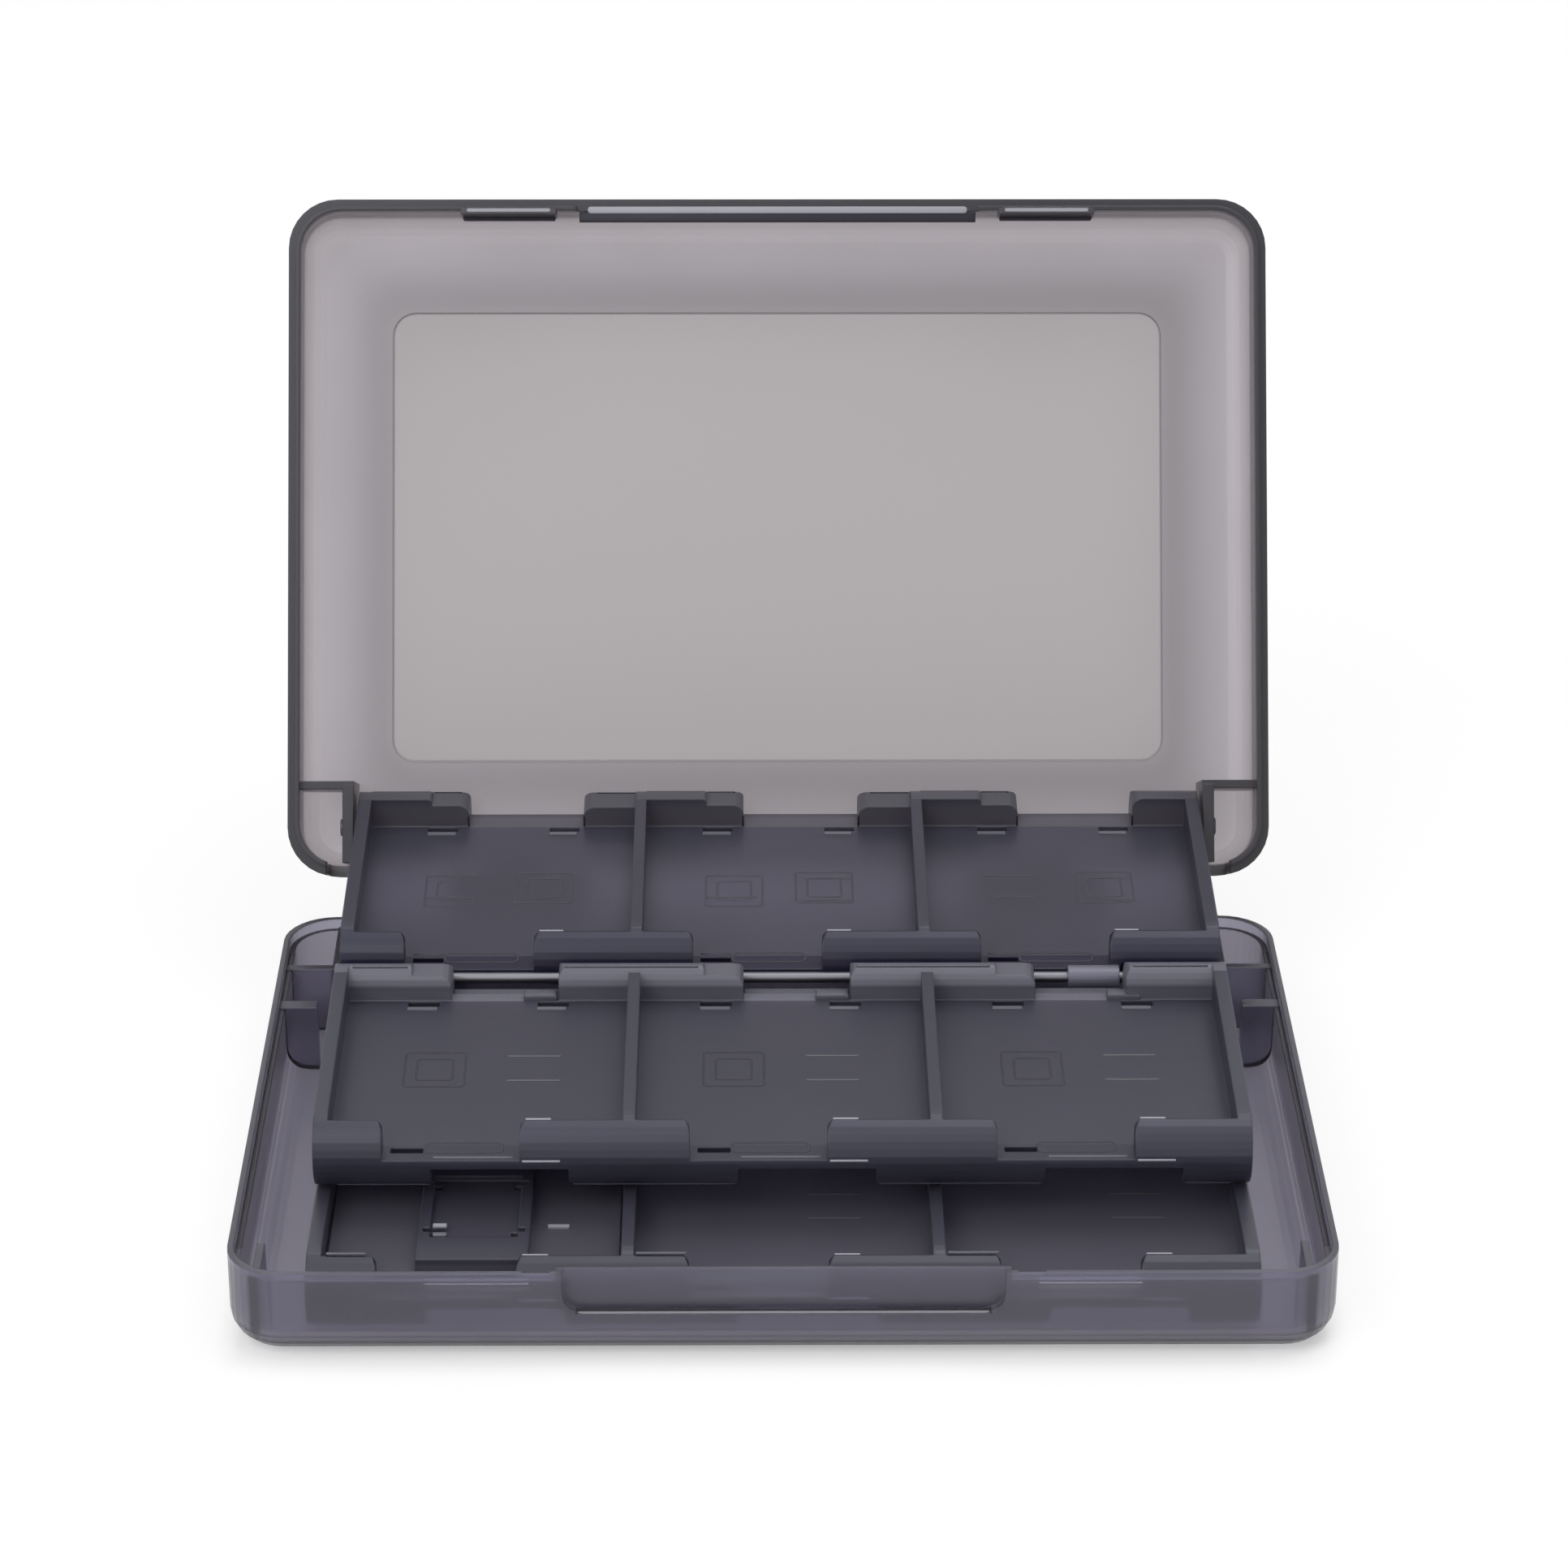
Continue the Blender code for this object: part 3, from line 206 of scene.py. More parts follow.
class Effects:
    """The effects that several finishes share, each built once as a node group."""

    def __init__(self) -> None:
        """Builds the groups."""
        self.grain = self.moulded_grain()
        self.edges = self.soft_edges()
        self.handling = self.handling_marks()
        self.depth = self.wall_depth()
        self.glow = self.wall_glow()
        self.zone = self.zone_mask()

    @staticmethod
    def zone_mask() -> bpy.types.NodeTree:
        """Marks a box in the place given, the same at the left and the right, with soft borders."""
        sheet, given, out = new_group("zone_mask", {"Soft": 0.0001}, {"Inside": "NodeSocketFloat"},
                                      {"Place": "NodeSocketVector", "Low": "NodeSocketVector",
                                       "High": "NodeSocketVector"})
        places = sheet.add("ShaderNodeSeparateXYZ", Vector=given.outputs["Place"])
        lows = sheet.add("ShaderNodeSeparateXYZ", Vector=given.outputs["Low"])
        highs = sheet.add("ShaderNodeSeparateXYZ", Vector=given.outputs["High"])
        inside = None
        for axis in "XYZ":
            value = places.outputs[axis]
            if axis == "X":
                value = sheet.maths("ABSOLUTE", value)
            for gap in (sheet.maths("SUBTRACT", value, lows.outputs[axis]),
                        sheet.maths("SUBTRACT", highs.outputs[axis], value)):
                share = sheet.maths("DIVIDE", gap, given.outputs["Soft"], clamp=True)
                inside = share if inside is None else sheet.maths("MULTIPLY", inside, share)
        sheet.feed(out, "Inside", inside)
        return sheet.tree

    @staticmethod
    def moulded_grain() -> bpy.types.NodeTree:
        """The fine texture of a mould, and the slow unevenness of the plastic in it."""
        sheet, given, out = new_group("moulded_grain", {"Fineness": 5000.0, "Flow": 45.0},
                                      {"Height": "NodeSocketFloat", "Unevenness": "NodeSocketFloat"})
        place = sheet.place()
        fine = sheet.add("ShaderNodeTexNoise", Vector=place, Scale=given.outputs["Fineness"],
                         Detail=2.0, Roughness=0.6)
        slow = sheet.add("ShaderNodeTexNoise", Vector=place, Scale=given.outputs["Flow"],
                         Detail=3.0, Roughness=0.5, Distortion=0.6)
        sheet.feed(out, "Height", fine.outputs["Fac"])
        sheet.feed(out, "Unevenness", slow.outputs["Fac"])
        return sheet.tree

    @staticmethod
    def soft_edges() -> bpy.types.NodeTree:
        """Rounds the look of moulded edges, and marks where they are."""
        sheet, given, out = new_group("soft_edges", {"Radius": 0.0003, "Gain": 3.0},
                                      {"Normal": "NodeSocketVector", "Edge": "NodeSocketFloat"})
        rounded = sheet.add("ShaderNodeBevel", {"samples": 6}, Radius=given.outputs["Radius"])
        flat = sheet.add("ShaderNodeNewGeometry").outputs["Normal"]
        alike = sheet.add("ShaderNodeVectorMath", {"operation": "DOT_PRODUCT"})
        sheet.feed(alike, 0, rounded.outputs["Normal"])
        sheet.feed(alike, 1, flat)
        apart = sheet.maths("SUBTRACT", 1.0, alike.outputs["Value"])
        sheet.feed(out, "Normal", rounded.outputs["Normal"])
        sheet.feed(out, "Edge", sheet.maths("MULTIPLY", apart, given.outputs["Gain"], clamp=True))
        return sheet.tree

    @staticmethod
    def wall_depth() -> bpy.types.NodeTree:
        """Tells thick plastic from thin: 1 where no far side lies within reach, 0 in a thin wall."""
        sheet, given, out = new_group("wall_depth", {"Reach": 0.0025, "Thin": 0.25},
                                      {"Depth": "NodeSocketFloat"})
        inward = sheet.add("ShaderNodeAmbientOcclusion", {"inside": True, "only_local": True, "samples": 4},
                           Distance=given.outputs["Reach"])
        beyond = sheet.maths("SUBTRACT", inward.outputs["AO"], given.outputs["Thin"])
        room = sheet.maths("SUBTRACT", 1.0, given.outputs["Thin"])
        sheet.feed(out, "Depth", sheet.maths("DIVIDE", beyond, room, clamp=True))
        return sheet.tree

    @staticmethod
    def wall_glow() -> bpy.types.NodeTree:
        """Where painted light makes a shell paler, along its walls, and painted shade makes it darker, at its
        rim, in the shut case's frame.
        """
        sheet, given, out = new_group("wall_glow", {"Half Width": 0.07, "Half Length": 0.0485,
                                                    "Near": 0.003, "Far": 0.014, "Rim Start": 0.0142,
                                                    "Rim End": 0.0130},
                                      {"Glow": "NodeSocketFloat", "Rim": "NodeSocketFloat"},
                                      {"Place": "NodeSocketVector"})
        apart = sheet.add("ShaderNodeSeparateXYZ", Vector=given.outputs["Place"])
        gaps = [sheet.maths("SUBTRACT", given.outputs[half], sheet.maths("ABSOLUTE", apart.outputs[axis]))
                for half, axis in (("Half Width", "X"), ("Half Length", "Y"))]
        nearest = sheet.add("ShaderNodeMath", {"operation": "SMOOTH_MIN"})
        for number, value in enumerate((*gaps, CORNER_BLEND)):
            sheet.feed(nearest, number, value)
        fade = sheet.add("ShaderNodeMapRange", {"interpolation_type": "SMOOTHSTEP"}, Value=nearest.outputs[0])
        sheet.feed(fade, "From Min", given.outputs["Far"])
        sheet.feed(fade, "From Max", given.outputs["Near"])
        sheet.feed(out, "Glow", fade.outputs["Result"])
        rim = sheet.add("ShaderNodeMapRange", {"interpolation_type": "SMOOTHSTEP"}, Value=apart.outputs["Z"])
        sheet.feed(rim, "From Min", given.outputs["Rim Start"])
        sheet.feed(rim, "From Max", given.outputs["Rim End"])
        sheet.feed(out, "Rim", rim.outputs["Result"])
        return sheet.tree

    @staticmethod
    def handling_marks() -> bpy.types.NodeTree:
        """Dull patches and short hairlines that handling leaves."""
        sheet, given, out = new_group("handling_marks", {"Patches": 70.0, "Hairlines": 300.0},
                                      {"Patch": "NodeSocketFloat", "Hairline": "NodeSocketFloat"})
        place = sheet.place()
        patch = sheet.add("ShaderNodeTexNoise", Vector=place, Scale=given.outputs["Patches"],
                          Detail=4.0, Roughness=0.7)
        turned = sheet.add("ShaderNodeMapping", Vector=place, Rotation=(0.4, 0.2, 0.6),
                           Scale=(1.0, 0.06, 0.3))
        lines = sheet.add("ShaderNodeTexNoise", Vector=turned.outputs["Vector"],
                          Scale=given.outputs["Hairlines"], Detail=6.0, Roughness=0.8)
        sheet.feed(out, "Patch", patch.outputs["Fac"])
        sheet.feed(out, "Hairline", sheet.maths(
            "MULTIPLY", sheet.maths("SUBTRACT", lines.outputs["Fac"], HAIRLINE_START), HAIRLINE_GAIN,
            clamp=True))
        return sheet.tree


@dataclass(frozen=True)
class Zone:
    """A box of a node, the same at the left and the right, where light or shade is painted into its plastic's
    colour.
    """

    low: Point
    high: Point
    tint: Colour
    share: float = 1.0
    soft: float = 0.0001


@dataclass(frozen=True)
class SmokePlastic:
    """Smoke-coloured moulded plastic, which lets some light through thin walls."""

    name: str
    tint: Colour
    light_tint: Colour
    roughness: float
    transmission: float = 0.0
    absorbed: Colour = (0.5, 0.5, 0.5)
    density: float = 0.0
    reach: float = 0.0025
    # These set painted light and shade: shade in thick plastic and at edges, highlights at edges, and a
    # shell's light along its walls and shade at its rim.
    thick_shade: float = 0.6
    edge_shade: float = 0.45
    edge_light: float = 0.0
    edge_highlight_tint: Colour = (0.19, 0.19, 0.24)
    specular: float = 0.5
    specular_tint: Colour = (0.93, 0.93, 1.0)
    glow: float = 0.0
    rim_shade: float = 0.0
    rim_tint: Colour = (0.03, 0.03, 0.04)
    lid_angle: float = 0.0
    grain_depth: float = 0.000004
    grain_strength: float = 0.35
    edge_radius: float = 0.0003
    zones: tuple[Zone, ...] = ()

    def build(self, effects: Effects) -> bpy.types.Material:
        """Makes the material.

        Args:
            effects: The shared node groups.

        Returns:
            The finished material.
        """
        material, sheet = new_material(self.name)
        grain = sheet.group(effects.grain)
        edges = sheet.group(effects.edges, Radius=self.edge_radius)
        marks = sheet.group(effects.handling)
        front = sheet.maths("SUBTRACT", 1.0, sheet.add("ShaderNodeNewGeometry").outputs["Backfacing"])
        colour = sheet.blend(grain.outputs["Unevenness"], rgba(self.tint), rgba(self.light_tint))
        if self.glow:
            colour = self.with_glow(sheet, effects, colour)
        colour = self.with_depth(sheet, effects, colour, edges.outputs["Edge"], front)
        colour = self.with_zones(sheet, effects, colour)
        # Paints highlights along edges.
        if self.edge_light:
            edge_highlight = sheet.maths("MULTIPLY", sheet.maths("MULTIPLY", edges.outputs["Edge"], front),
                                 self.edge_light)
            colour = sheet.blend(edge_highlight, colour, rgba(self.edge_highlight_tint))
        patchy = sheet.maths("MULTIPLY", sheet.maths("SUBTRACT", marks.outputs["Patch"], PATCH_MIDDLE),
                             PATCH_ROUGHNESS)
        hairline = sheet.maths("MULTIPLY", marks.outputs["Hairline"], HAIRLINE_ROUGHNESS)
        rough = sheet.maths("ADD", sheet.maths("ADD", patchy, hairline), self.roughness, clamp=True)
        bump = sheet.add("ShaderNodeBump", Strength=self.grain_strength, Distance=self.grain_depth,
                         Height=grain.outputs["Height"], Normal=edges.outputs["Normal"])
        shader = sheet.add("ShaderNodeBsdfPrincipled", Base_Color=colour, Roughness=rough, IOR=PLASTIC_IOR,
                           Transmission_Weight=self.transmission, Specular_IOR_Level=self.specular,
                           Specular_Tint=rgba(self.specular_tint), Normal=bump.outputs["Normal"])
        inside = sheet.add("ShaderNodeVolumeAbsorption", Color=rgba(self.absorbed), Density=self.density)
        sheet.add("ShaderNodeOutputMaterial", Surface=shader.outputs["BSDF"],
                  Volume=inside.outputs["Volume"])
        return material

    def with_glow(self, sheet: NodeSheet, effects: Effects, colour: Any) -> bpy.types.NodeSocket:
        """Paints light into a shell along its walls, where it is paler than in its middle, and shade at its
        rim.
        """
        place = sheet.add("ShaderNodeMapping", Rotation=(self.lid_angle, 0.0, 0.0),
                          Location=shift_about_hinge(self.lid_angle), Vector=sheet.place())
        glow = sheet.group(effects.glow, Place=place.outputs["Vector"])
        colour = sheet.blend(glow.outputs["Glow"], scaled(self.tint, 1.0 - self.glow), colour)
        return sheet.blend(sheet.maths("MULTIPLY", glow.outputs["Rim"], self.rim_shade), colour,
                           rgba(self.rim_tint))

    def with_depth(self, sheet: NodeSheet, effects: Effects, colour: Any, edge: Any,
                   front: Any) -> bpy.types.NodeSocket:
        """Paints shade into thick plastic and edges."""
        depth = sheet.group(effects.depth, Reach=self.reach)
        thick = sheet.maths("MULTIPLY", sheet.maths("MULTIPLY", depth.outputs["Depth"], front),
                            self.thick_shade)
        shade = sheet.maths("MAXIMUM", thick, sheet.maths("MULTIPLY", edge, self.edge_shade))
        deep = rgba(tuple(share * part for share, part in zip(DEEP_SHARE, self.tint)))
        return sheet.blend(shade, colour, deep)

    def with_zones(self, sheet: NodeSheet, effects: Effects, colour: Any) -> bpy.types.NodeSocket:
        """Paints each zone's light or shade into the colour."""
        for zone in self.zones:
            mask = sheet.group(effects.zone, Soft=zone.soft, Place=sheet.place(), Low=zone.low,
                               High=zone.high)
            colour = sheet.blend(sheet.maths("MULTIPLY", mask.outputs["Inside"], zone.share), colour,
                                 rgba(zone.tint))
        return colour


@dataclass(frozen=True)
class InsertSheet:
    """The pale, finely frosted insert panel."""

    name: str
    tint: Colour
    roughness: float
    fineness: float = 7000.0
    flow: float = 25.0
    uneven_share: float = 0.97
    grain_depth: float = 0.000003
    grain_strength: float = 0.25

    def build(self, effects: Effects) -> bpy.types.Material:
        """Makes the material from the shared groups."""
        material, sheet = new_material(self.name)
        grain = sheet.group(effects.grain, Fineness=self.fineness, Flow=self.flow)
        colour = sheet.blend(grain.outputs["Unevenness"], rgba(self.tint),
                             scaled(self.tint, self.uneven_share))
        bump = sheet.add("ShaderNodeBump", Strength=self.grain_strength, Distance=self.grain_depth,
                         Height=grain.outputs["Height"])
        shader = sheet.add("ShaderNodeBsdfPrincipled", Base_Color=colour, Roughness=self.roughness,
                           IOR=1.5, Normal=bump.outputs["Normal"])
        sheet.add("ShaderNodeOutputMaterial", Surface=shader.outputs["BSDF"])
        return material


@dataclass(frozen=True)
class DrawnSteel:
    """The drawn wire of rods and hinge pins."""

    name: str
    tint: Colour
    roughness: float
    hairlines: float = 900.0
    hairline_roughness: float = 0.2
    patch_share: float = 0.8

    def build(self, effects: Effects) -> bpy.types.Material:
        """Makes the material from the shared groups."""
        material, sheet = new_material(self.name)
        marks = sheet.group(effects.handling, Hairlines=self.hairlines)
        rough = sheet.maths("ADD", sheet.maths("MULTIPLY", marks.outputs["Hairline"],
                                               self.hairline_roughness), self.roughness)
        colour = sheet.blend(marks.outputs["Patch"], rgba(self.tint), scaled(self.tint, self.patch_share))
        shader = sheet.add("ShaderNodeBsdfPrincipled", Base_Color=colour, Roughness=rough, Metallic=1.0)
        sheet.add("ShaderNodeOutputMaterial", Surface=shader.outputs["BSDF"])
        return material


@dataclass
class Studio:
    """The pale floor, the plain soft light and the camera of the photograph."""

    focal_pixels: float = 5888.0
    pitch: float = math.radians(25.746)
    yaw: float = math.radians(0.502)
    roll: float = math.radians(0.132)
    distance: float = 0.6216
    target: Point = (0.00031, 0.0015, 0.05614)
    world_light: float = 0.75
    floor_tint: Colour = (0.93, 0.93, 0.93)
    floor_size: float = 12.0
    floor_level: float = -0.0002
    shadow_share: float = 0.20
    under_share: float = 0.45
    under_half: Pair = (0.066, 0.0465)
    under_border: float = 0.006
    lamp_aim: Point = (0.0, 0.0, 0.03)

    def build(self) -> None:
        """Makes the camera, the lamps, the world and the floor."""
        self.camera()
        self.world()
        self.lamps()
        self.floor()

    def camera(self) -> None:
        """Places the camera where the photograph was taken."""
        lens = bpy.data.cameras.new("photo_camera")
        lens.sensor_width = SENSOR
        lens.lens = self.focal_pixels / PHOTO_SIDE * SENSOR
        lens.clip_start = 0.01
        lens.clip_end = 20.0
        camera = bpy.data.objects.new("photo_camera", lens)
        bpy.context.collection.objects.link(camera)
        turn = (Matrix.Rotation(-self.yaw, 4, "Z") @ Matrix.Rotation(math.pi / 2 - self.pitch, 4, "X")
                @ Matrix.Rotation(self.roll, 4, "Z"))
        back = turn @ Vector((0, 0, 1))
        camera.matrix_world = Matrix.Translation(Vector(self.target) + back * self.distance) @ turn
        bpy.context.scene.camera = camera
        bpy.context.scene.view_settings.view_transform = "Standard"

    @staticmethod
    def seen_directly(sheet: NodeSheet) -> bpy.types.NodeSocket:
        """Is 1 for what the camera sees, directly or in gloss or through plastic."""
        path = sheet.add("ShaderNodeLightPath").outputs
        first = sheet.maths("MAXIMUM", path["Is Camera Ray"], path["Is Glossy Ray"])
        return sheet.maths("MAXIMUM", first, path["Is Transmission Ray"])

    def world(self) -> None:
        """A plain white world, which lights the object less brightly than it shows."""
        world = bpy.data.worlds.new("studio_world")
        world.use_nodes = True
        bpy.context.scene.world = world
        sheet = NodeSheet(world.node_tree)
        dim, white = (sheet.add("ShaderNodeBackground", Color=(1, 1, 1, 1), Strength=strength)
                      for strength in (self.world_light, 1.0))
        self.mix(sheet, self.seen_directly(sheet), dim, white, "ShaderNodeOutputWorld")

    @staticmethod
    def mix(sheet: NodeSheet, share: Any, first: bpy.types.Node, second: bpy.types.Node,
            output: str) -> None:
        """Mixes two shaders and hands the mix to an output node."""
        both = sheet.add("ShaderNodeMixShader", Fac=share)
        sheet.feed(both, 1, first.outputs[0])
        sheet.feed(both, 2, second.outputs[0])
        sheet.add(output, Surface=both.outputs[0])

    def lamps(self) -> None:
        """Two large soft lamps: one above and behind the camera's left, one overhead."""
        for name, place, size, power in (("key_lamp", (-0.5, -0.7, 0.9), 0.7, 5.0),
                                         ("top_lamp", (0.25, 0.15, 1.1), 0.8, 4.0)):
            lamp = bpy.data.lights.new(name, "AREA")
            lamp.size = size
            lamp.energy = power
            obj = bpy.data.objects.new(name, lamp)
            bpy.context.collection.objects.link(obj)
            obj.location = place
            obj.rotation_euler = (Vector(place) - Vector(self.lamp_aim)).to_track_quat("Z", "Y").to_euler()

    def floor(self) -> None:
        """A wide pale floor that shows white and keeps a soft shadow."""
        bpy.ops.mesh.primitive_plane_add(size=self.floor_size, location=(0, 0, self.floor_level))
        floor = bpy.context.object
        floor.name = "floor"
        material, sheet = new_material("pale_floor")
        matt = sheet.add("ShaderNodeBsdfDiffuse", Color=rgba(self.floor_tint))
        white = sheet.add("ShaderNodeEmission", Strength=1.0)
        apart = sheet.add("ShaderNodeSeparateXYZ", Vector=sheet.place())
        across, along = (sheet.maths("SUBTRACT", sheet.maths("ABSOLUTE", apart.outputs[axis]), half)
                         for axis, half in zip("XY", self.under_half))
        outside = sheet.maths("DIVIDE", sheet.maths("MAXIMUM", across, along), self.under_border, clamp=True)
        outside = sheet.maths("MAXIMUM", outside, self.under_share)
        share = sheet.maths("MULTIPLY", sheet.maths("MULTIPLY", self.seen_directly(sheet), outside),
                            1.0 - self.shadow_share)
        self.mix(sheet, share, matt, white, "ShaderNodeOutputMaterial")
        floor.data.materials.append(material)


class Bench:
    """Models small mouldings with the editing tools, each in an object of its own."""

    @staticmethod
    def only(*objects: bpy.types.Object) -> None:
        """Selects these objects alone and makes the first one active."""
        bpy.ops.object.select_all(action="DESELECT")
        for obj in objects:
            obj.select_set(True)
        bpy.context.view_layer.objects.active = objects[0]

    @classmethod
    def settle(cls, obj: bpy.types.Object) -> bpy.types.Object:
        """Puts an object's place, turn and size into its mesh."""
        cls.only(obj)
        bpy.ops.object.transform_apply(location=True, rotation=True, scale=True)
        return obj

    @classmethod
    def block(cls, low: Point, high: Point) -> bpy.types.Object:
        """Adds a block between its lowest and its highest corner."""
        bpy.ops.object.select_all(action="DESELECT")
        bpy.ops.mesh.primitive_cube_add(size=1.0, location=(Vector(low) + Vector(high)) / 2,
                                        scale=Vector(high) - Vector(low))
        return cls.settle(bpy.context.object)

    @staticmethod
    def pick(obj: bpy.types.Object, part: Part, test: Callable[[Vector, Vector], bool]) -> None:
        """Selects what passes a test, and stays in edit mode.

        Args:
            obj: The active object.
            part: Whether edges or faces are picked.
            test: Takes an edge's two ends, or a face's centre and normal.
        """
        bpy.ops.object.mode_set(mode="EDIT")
        bpy.ops.mesh.select_mode(type=part.value)
        bpy.ops.mesh.select_all(action="DESELECT")
        bpy.ops.object.mode_set(mode="OBJECT")
        mesh = obj.data
        if part is Part.EDGES:
            for edge in mesh.edges:
                edge.select = test(*(mesh.vertices[number].co for number in edge.vertices))
        else:
            for face in mesh.polygons:
                face.select = test(face.center, face.normal)
        bpy.ops.object.mode_set(mode="EDIT")

    @classmethod
    def bevel(cls, obj: bpy.types.Object, radius: float, segments: int,
              test: Callable[[Vector, Vector], bool]) -> bpy.types.Object:
        """Rounds the edges that pass a test."""
        cls.pick(obj, Part.EDGES, test)
        bpy.ops.mesh.bevel(offset=radius, segments=segments, affect="EDGES")
        bpy.ops.object.mode_set(mode="OBJECT")
        return obj

    @classmethod
    def inset(cls, obj: bpy.types.Object, side: float, thickness: float, depth: float) -> bpy.types.Object:
        """Insets the top of a block, or its underside where the side is -1."""
        cls.pick(obj, Part.FACES, lambda _centre, normal: side * normal.z > FACING)
        bpy.ops.mesh.inset(thickness=thickness, depth=depth)
        bpy.ops.object.mode_set(mode="OBJECT")
        return obj

    @classmethod
    def soften(cls, obj: bpy.types.Object, radius: float, segments: int) -> bpy.types.Object:
        """Rounds every edge of a block."""
        cls.only(obj)
        bpy.ops.object.mode_set(mode="EDIT")
        bpy.ops.mesh.select_mode(type="EDGE")
        bpy.ops.mesh.select_all(action="SELECT")
        bpy.ops.mesh.bevel(offset=radius, segments=segments, affect="EDGES")
        bpy.ops.object.mode_set(mode="OBJECT")
        return obj

    @classmethod
    def outline(cls, low: Point, high: Point, radius: float, line: float) -> bpy.types.Object:
        """Raises a thin line along a rounded rectangle.

        Args:
            low: The rectangle's lowest corner, at the foot of the line.
            high: Its highest corner, at the line's top.
            radius: The corners' radius.
            line: The line's width.

        Returns:
            The outline, a closed ring.
        """
        bpy.ops.object.select_all(action="DESELECT")
        bpy.ops.mesh.primitive_plane_add(size=1.0, location=((low[0] + high[0]) / 2,
                                                             (low[1] + high[1]) / 2, low[2]))
        obj = bpy.context.object
        obj.scale = (high[0] - low[0], high[1] - low[1], 1.0)
        cls.settle(obj)
        bpy.ops.object.mode_set(mode="EDIT")
        bpy.ops.mesh.select_mode(type="FACE")
        bpy.ops.mesh.select_all(action="SELECT")
        bpy.ops.mesh.bevel(offset=radius, segments=4, affect="VERTICES")
        bpy.ops.object.mode_set(mode="OBJECT")
        cls.pick(obj, Part.FACES, lambda _centre, _normal: True)
        bpy.ops.mesh.inset(thickness=line, depth=0.0)
        bpy.ops.mesh.delete(type="FACE")
        bpy.ops.mesh.select_all(action="SELECT")
        bpy.ops.mesh.extrude_region_move(TRANSFORM_OT_translate={"value": (0, 0, high[2] - low[2])})
        bpy.ops.mesh.select_all(action="SELECT")
        bpy.ops.mesh.normals_make_consistent(inside=False)
        bpy.ops.object.mode_set(mode="OBJECT")
        return obj

    @classmethod
    def join(cls, name: str, objects: Sequence[bpy.types.Object]) -> bpy.types.Object:
        """Joins objects into one, which takes the name given."""
        cls.only(*objects)
        if len(objects) > 1:
            bpy.ops.object.join()
        obj = bpy.context.object
        obj.name = obj.data.name = name
        return cls.settle(obj)

    @classmethod
    def repeat(cls, obj: bpy.types.Object, places: Sequence[Point]) -> bpy.types.Object:
        """Copies a moulding to each place, every copy with its own mesh, and joins the copies.

        Args:
            obj: The moulding, modelled about the origin of its place.
            places: Where the copies go.

        Returns:
            One object that holds all the copies.
        """
        copies = []
        for place in places:
            cls.only(obj)
            bpy.ops.object.duplicate(linked=False)
            copy = bpy.context.object
            copy.location = place
            copies.append(copy)
        name = obj.name
        bpy.data.objects.remove(obj, do_unlink=True)
        return cls.join(name, copies)

    @classmethod
    def both_faces(cls, obj: bpy.types.Object) -> bpy.types.Object:
        """Adds the same mouldings turned over to a tray's other face."""
        cls.only(obj)
        bpy.ops.object.duplicate(linked=False)
        over = bpy.context.object
        over.rotation_euler = (0.0, math.pi, 0.0)
        return cls.join(obj.name, (obj, over))

    @classmethod
    def lay(cls, obj: bpy.types.Object, origin: Point, tilt: float) -> bpy.types.Object:
        """Moves an object from its own frame to one that is turned about X."""
        obj.location = origin
        obj.rotation_euler = (tilt, 0.0, 0.0)
        return cls.settle(obj)


FLOOR = 0.00065
SINK = 0.0001
LINE_FOOT = FLOOR - 0.00002
LINE_TOP = FLOOR + 0.00003
FRONT = -0.0485
RIM = 0.0128
RIB_FOOT = 0.0129
LEDGE = 0.0067
CLIP_TOP = 0.00395
COLUMNS = tuple((number * COLUMN_PITCH, 0.0, 0.0) for number in (-1, 0, 1))
SNAP_TABS = ((-0.0384, 0.0, 0.0), (0.0384, 0.0, 0.0))


class Work(Enum):
    """How each box of a detail is worked."""

    PLAIN = "left as it is"
    ALL_EDGES = "every edge rounded"
    TOP_EDGES = "the edges of its top rounded"
    REAR_EDGES = "the edges of its rear face rounded"
    UPRIGHT_EDGES = "its upright edges rounded"
    RING = "a raised line around it, with rounded corners"


@dataclass(frozen=True)
class Detail:
    """One moulded piece: boxes that are worked alike, joined and repeated.

    Attributes:
        name: The piece's name, without the prefix of its part.
        finish: The name of its finish.
        boxes: The lowest and the highest corner of each box.
        work: How each box is worked.
        radius: The radius of the rounded edges or corners.
        segments: How many steps a rounded edge has.
        line: The width of a ring's line.
        inset: Side of the face that is inset, 1 for the top, then thickness and depth.
        places: Where the piece is repeated.
        both_faces: Whether it is also turned over to the other face of a tray.
    """

    name: str
    finish: str
    boxes: tuple[Box, ...]
    work: Work = Work.ALL_EDGES
    radius: float = 0.00005
    segments: int = 2
    line: float = 0.0
    inset: Point | None = None
    places: tuple[Point, ...] = ()
    both_faces: bool = False

    def shape(self, low: Point, high: Point) -> bpy.types.Object:
        """Models one box."""
        if self.work is Work.RING:
            return Bench.outline(low, high, self.radius, self.line)
        obj = Bench.block(low, high)
        if self.work is Work.ALL_EDGES:
            Bench.soften(obj, self.radius, self.segments)
        elif self.work is not Work.PLAIN:
            middle = (Vector(low) + Vector(high)) / 2
            Bench.bevel(obj, self.radius, self.segments, lambda start, end: self.takes(middle, start, end))
        if self.inset:
            Bench.inset(obj, *self.inset)
        return obj

    def takes(self, middle: Vector, start: Vector, end: Vector) -> bool:
        """Tells whether an edge of a box is rounded."""
        if self.work is Work.UPRIGHT_EDGES:
            return abs(start.z - end.z) > UPRIGHT_RISE
        axis = 1 if self.work is Work.REAR_EDGES else 2
        return min(start[axis], end[axis]) > middle[axis]

    def build(self, prefix: str) -> bpy.types.Object:
        """Models the whole piece in its part's frame."""
        obj = Bench.join(prefix + self.name, [self.shape(low, high) for low, high in self.boxes])
        if self.places:
            obj = Bench.repeat(obj, self.places)
        return Bench.both_faces(obj) if self.both_faces else obj


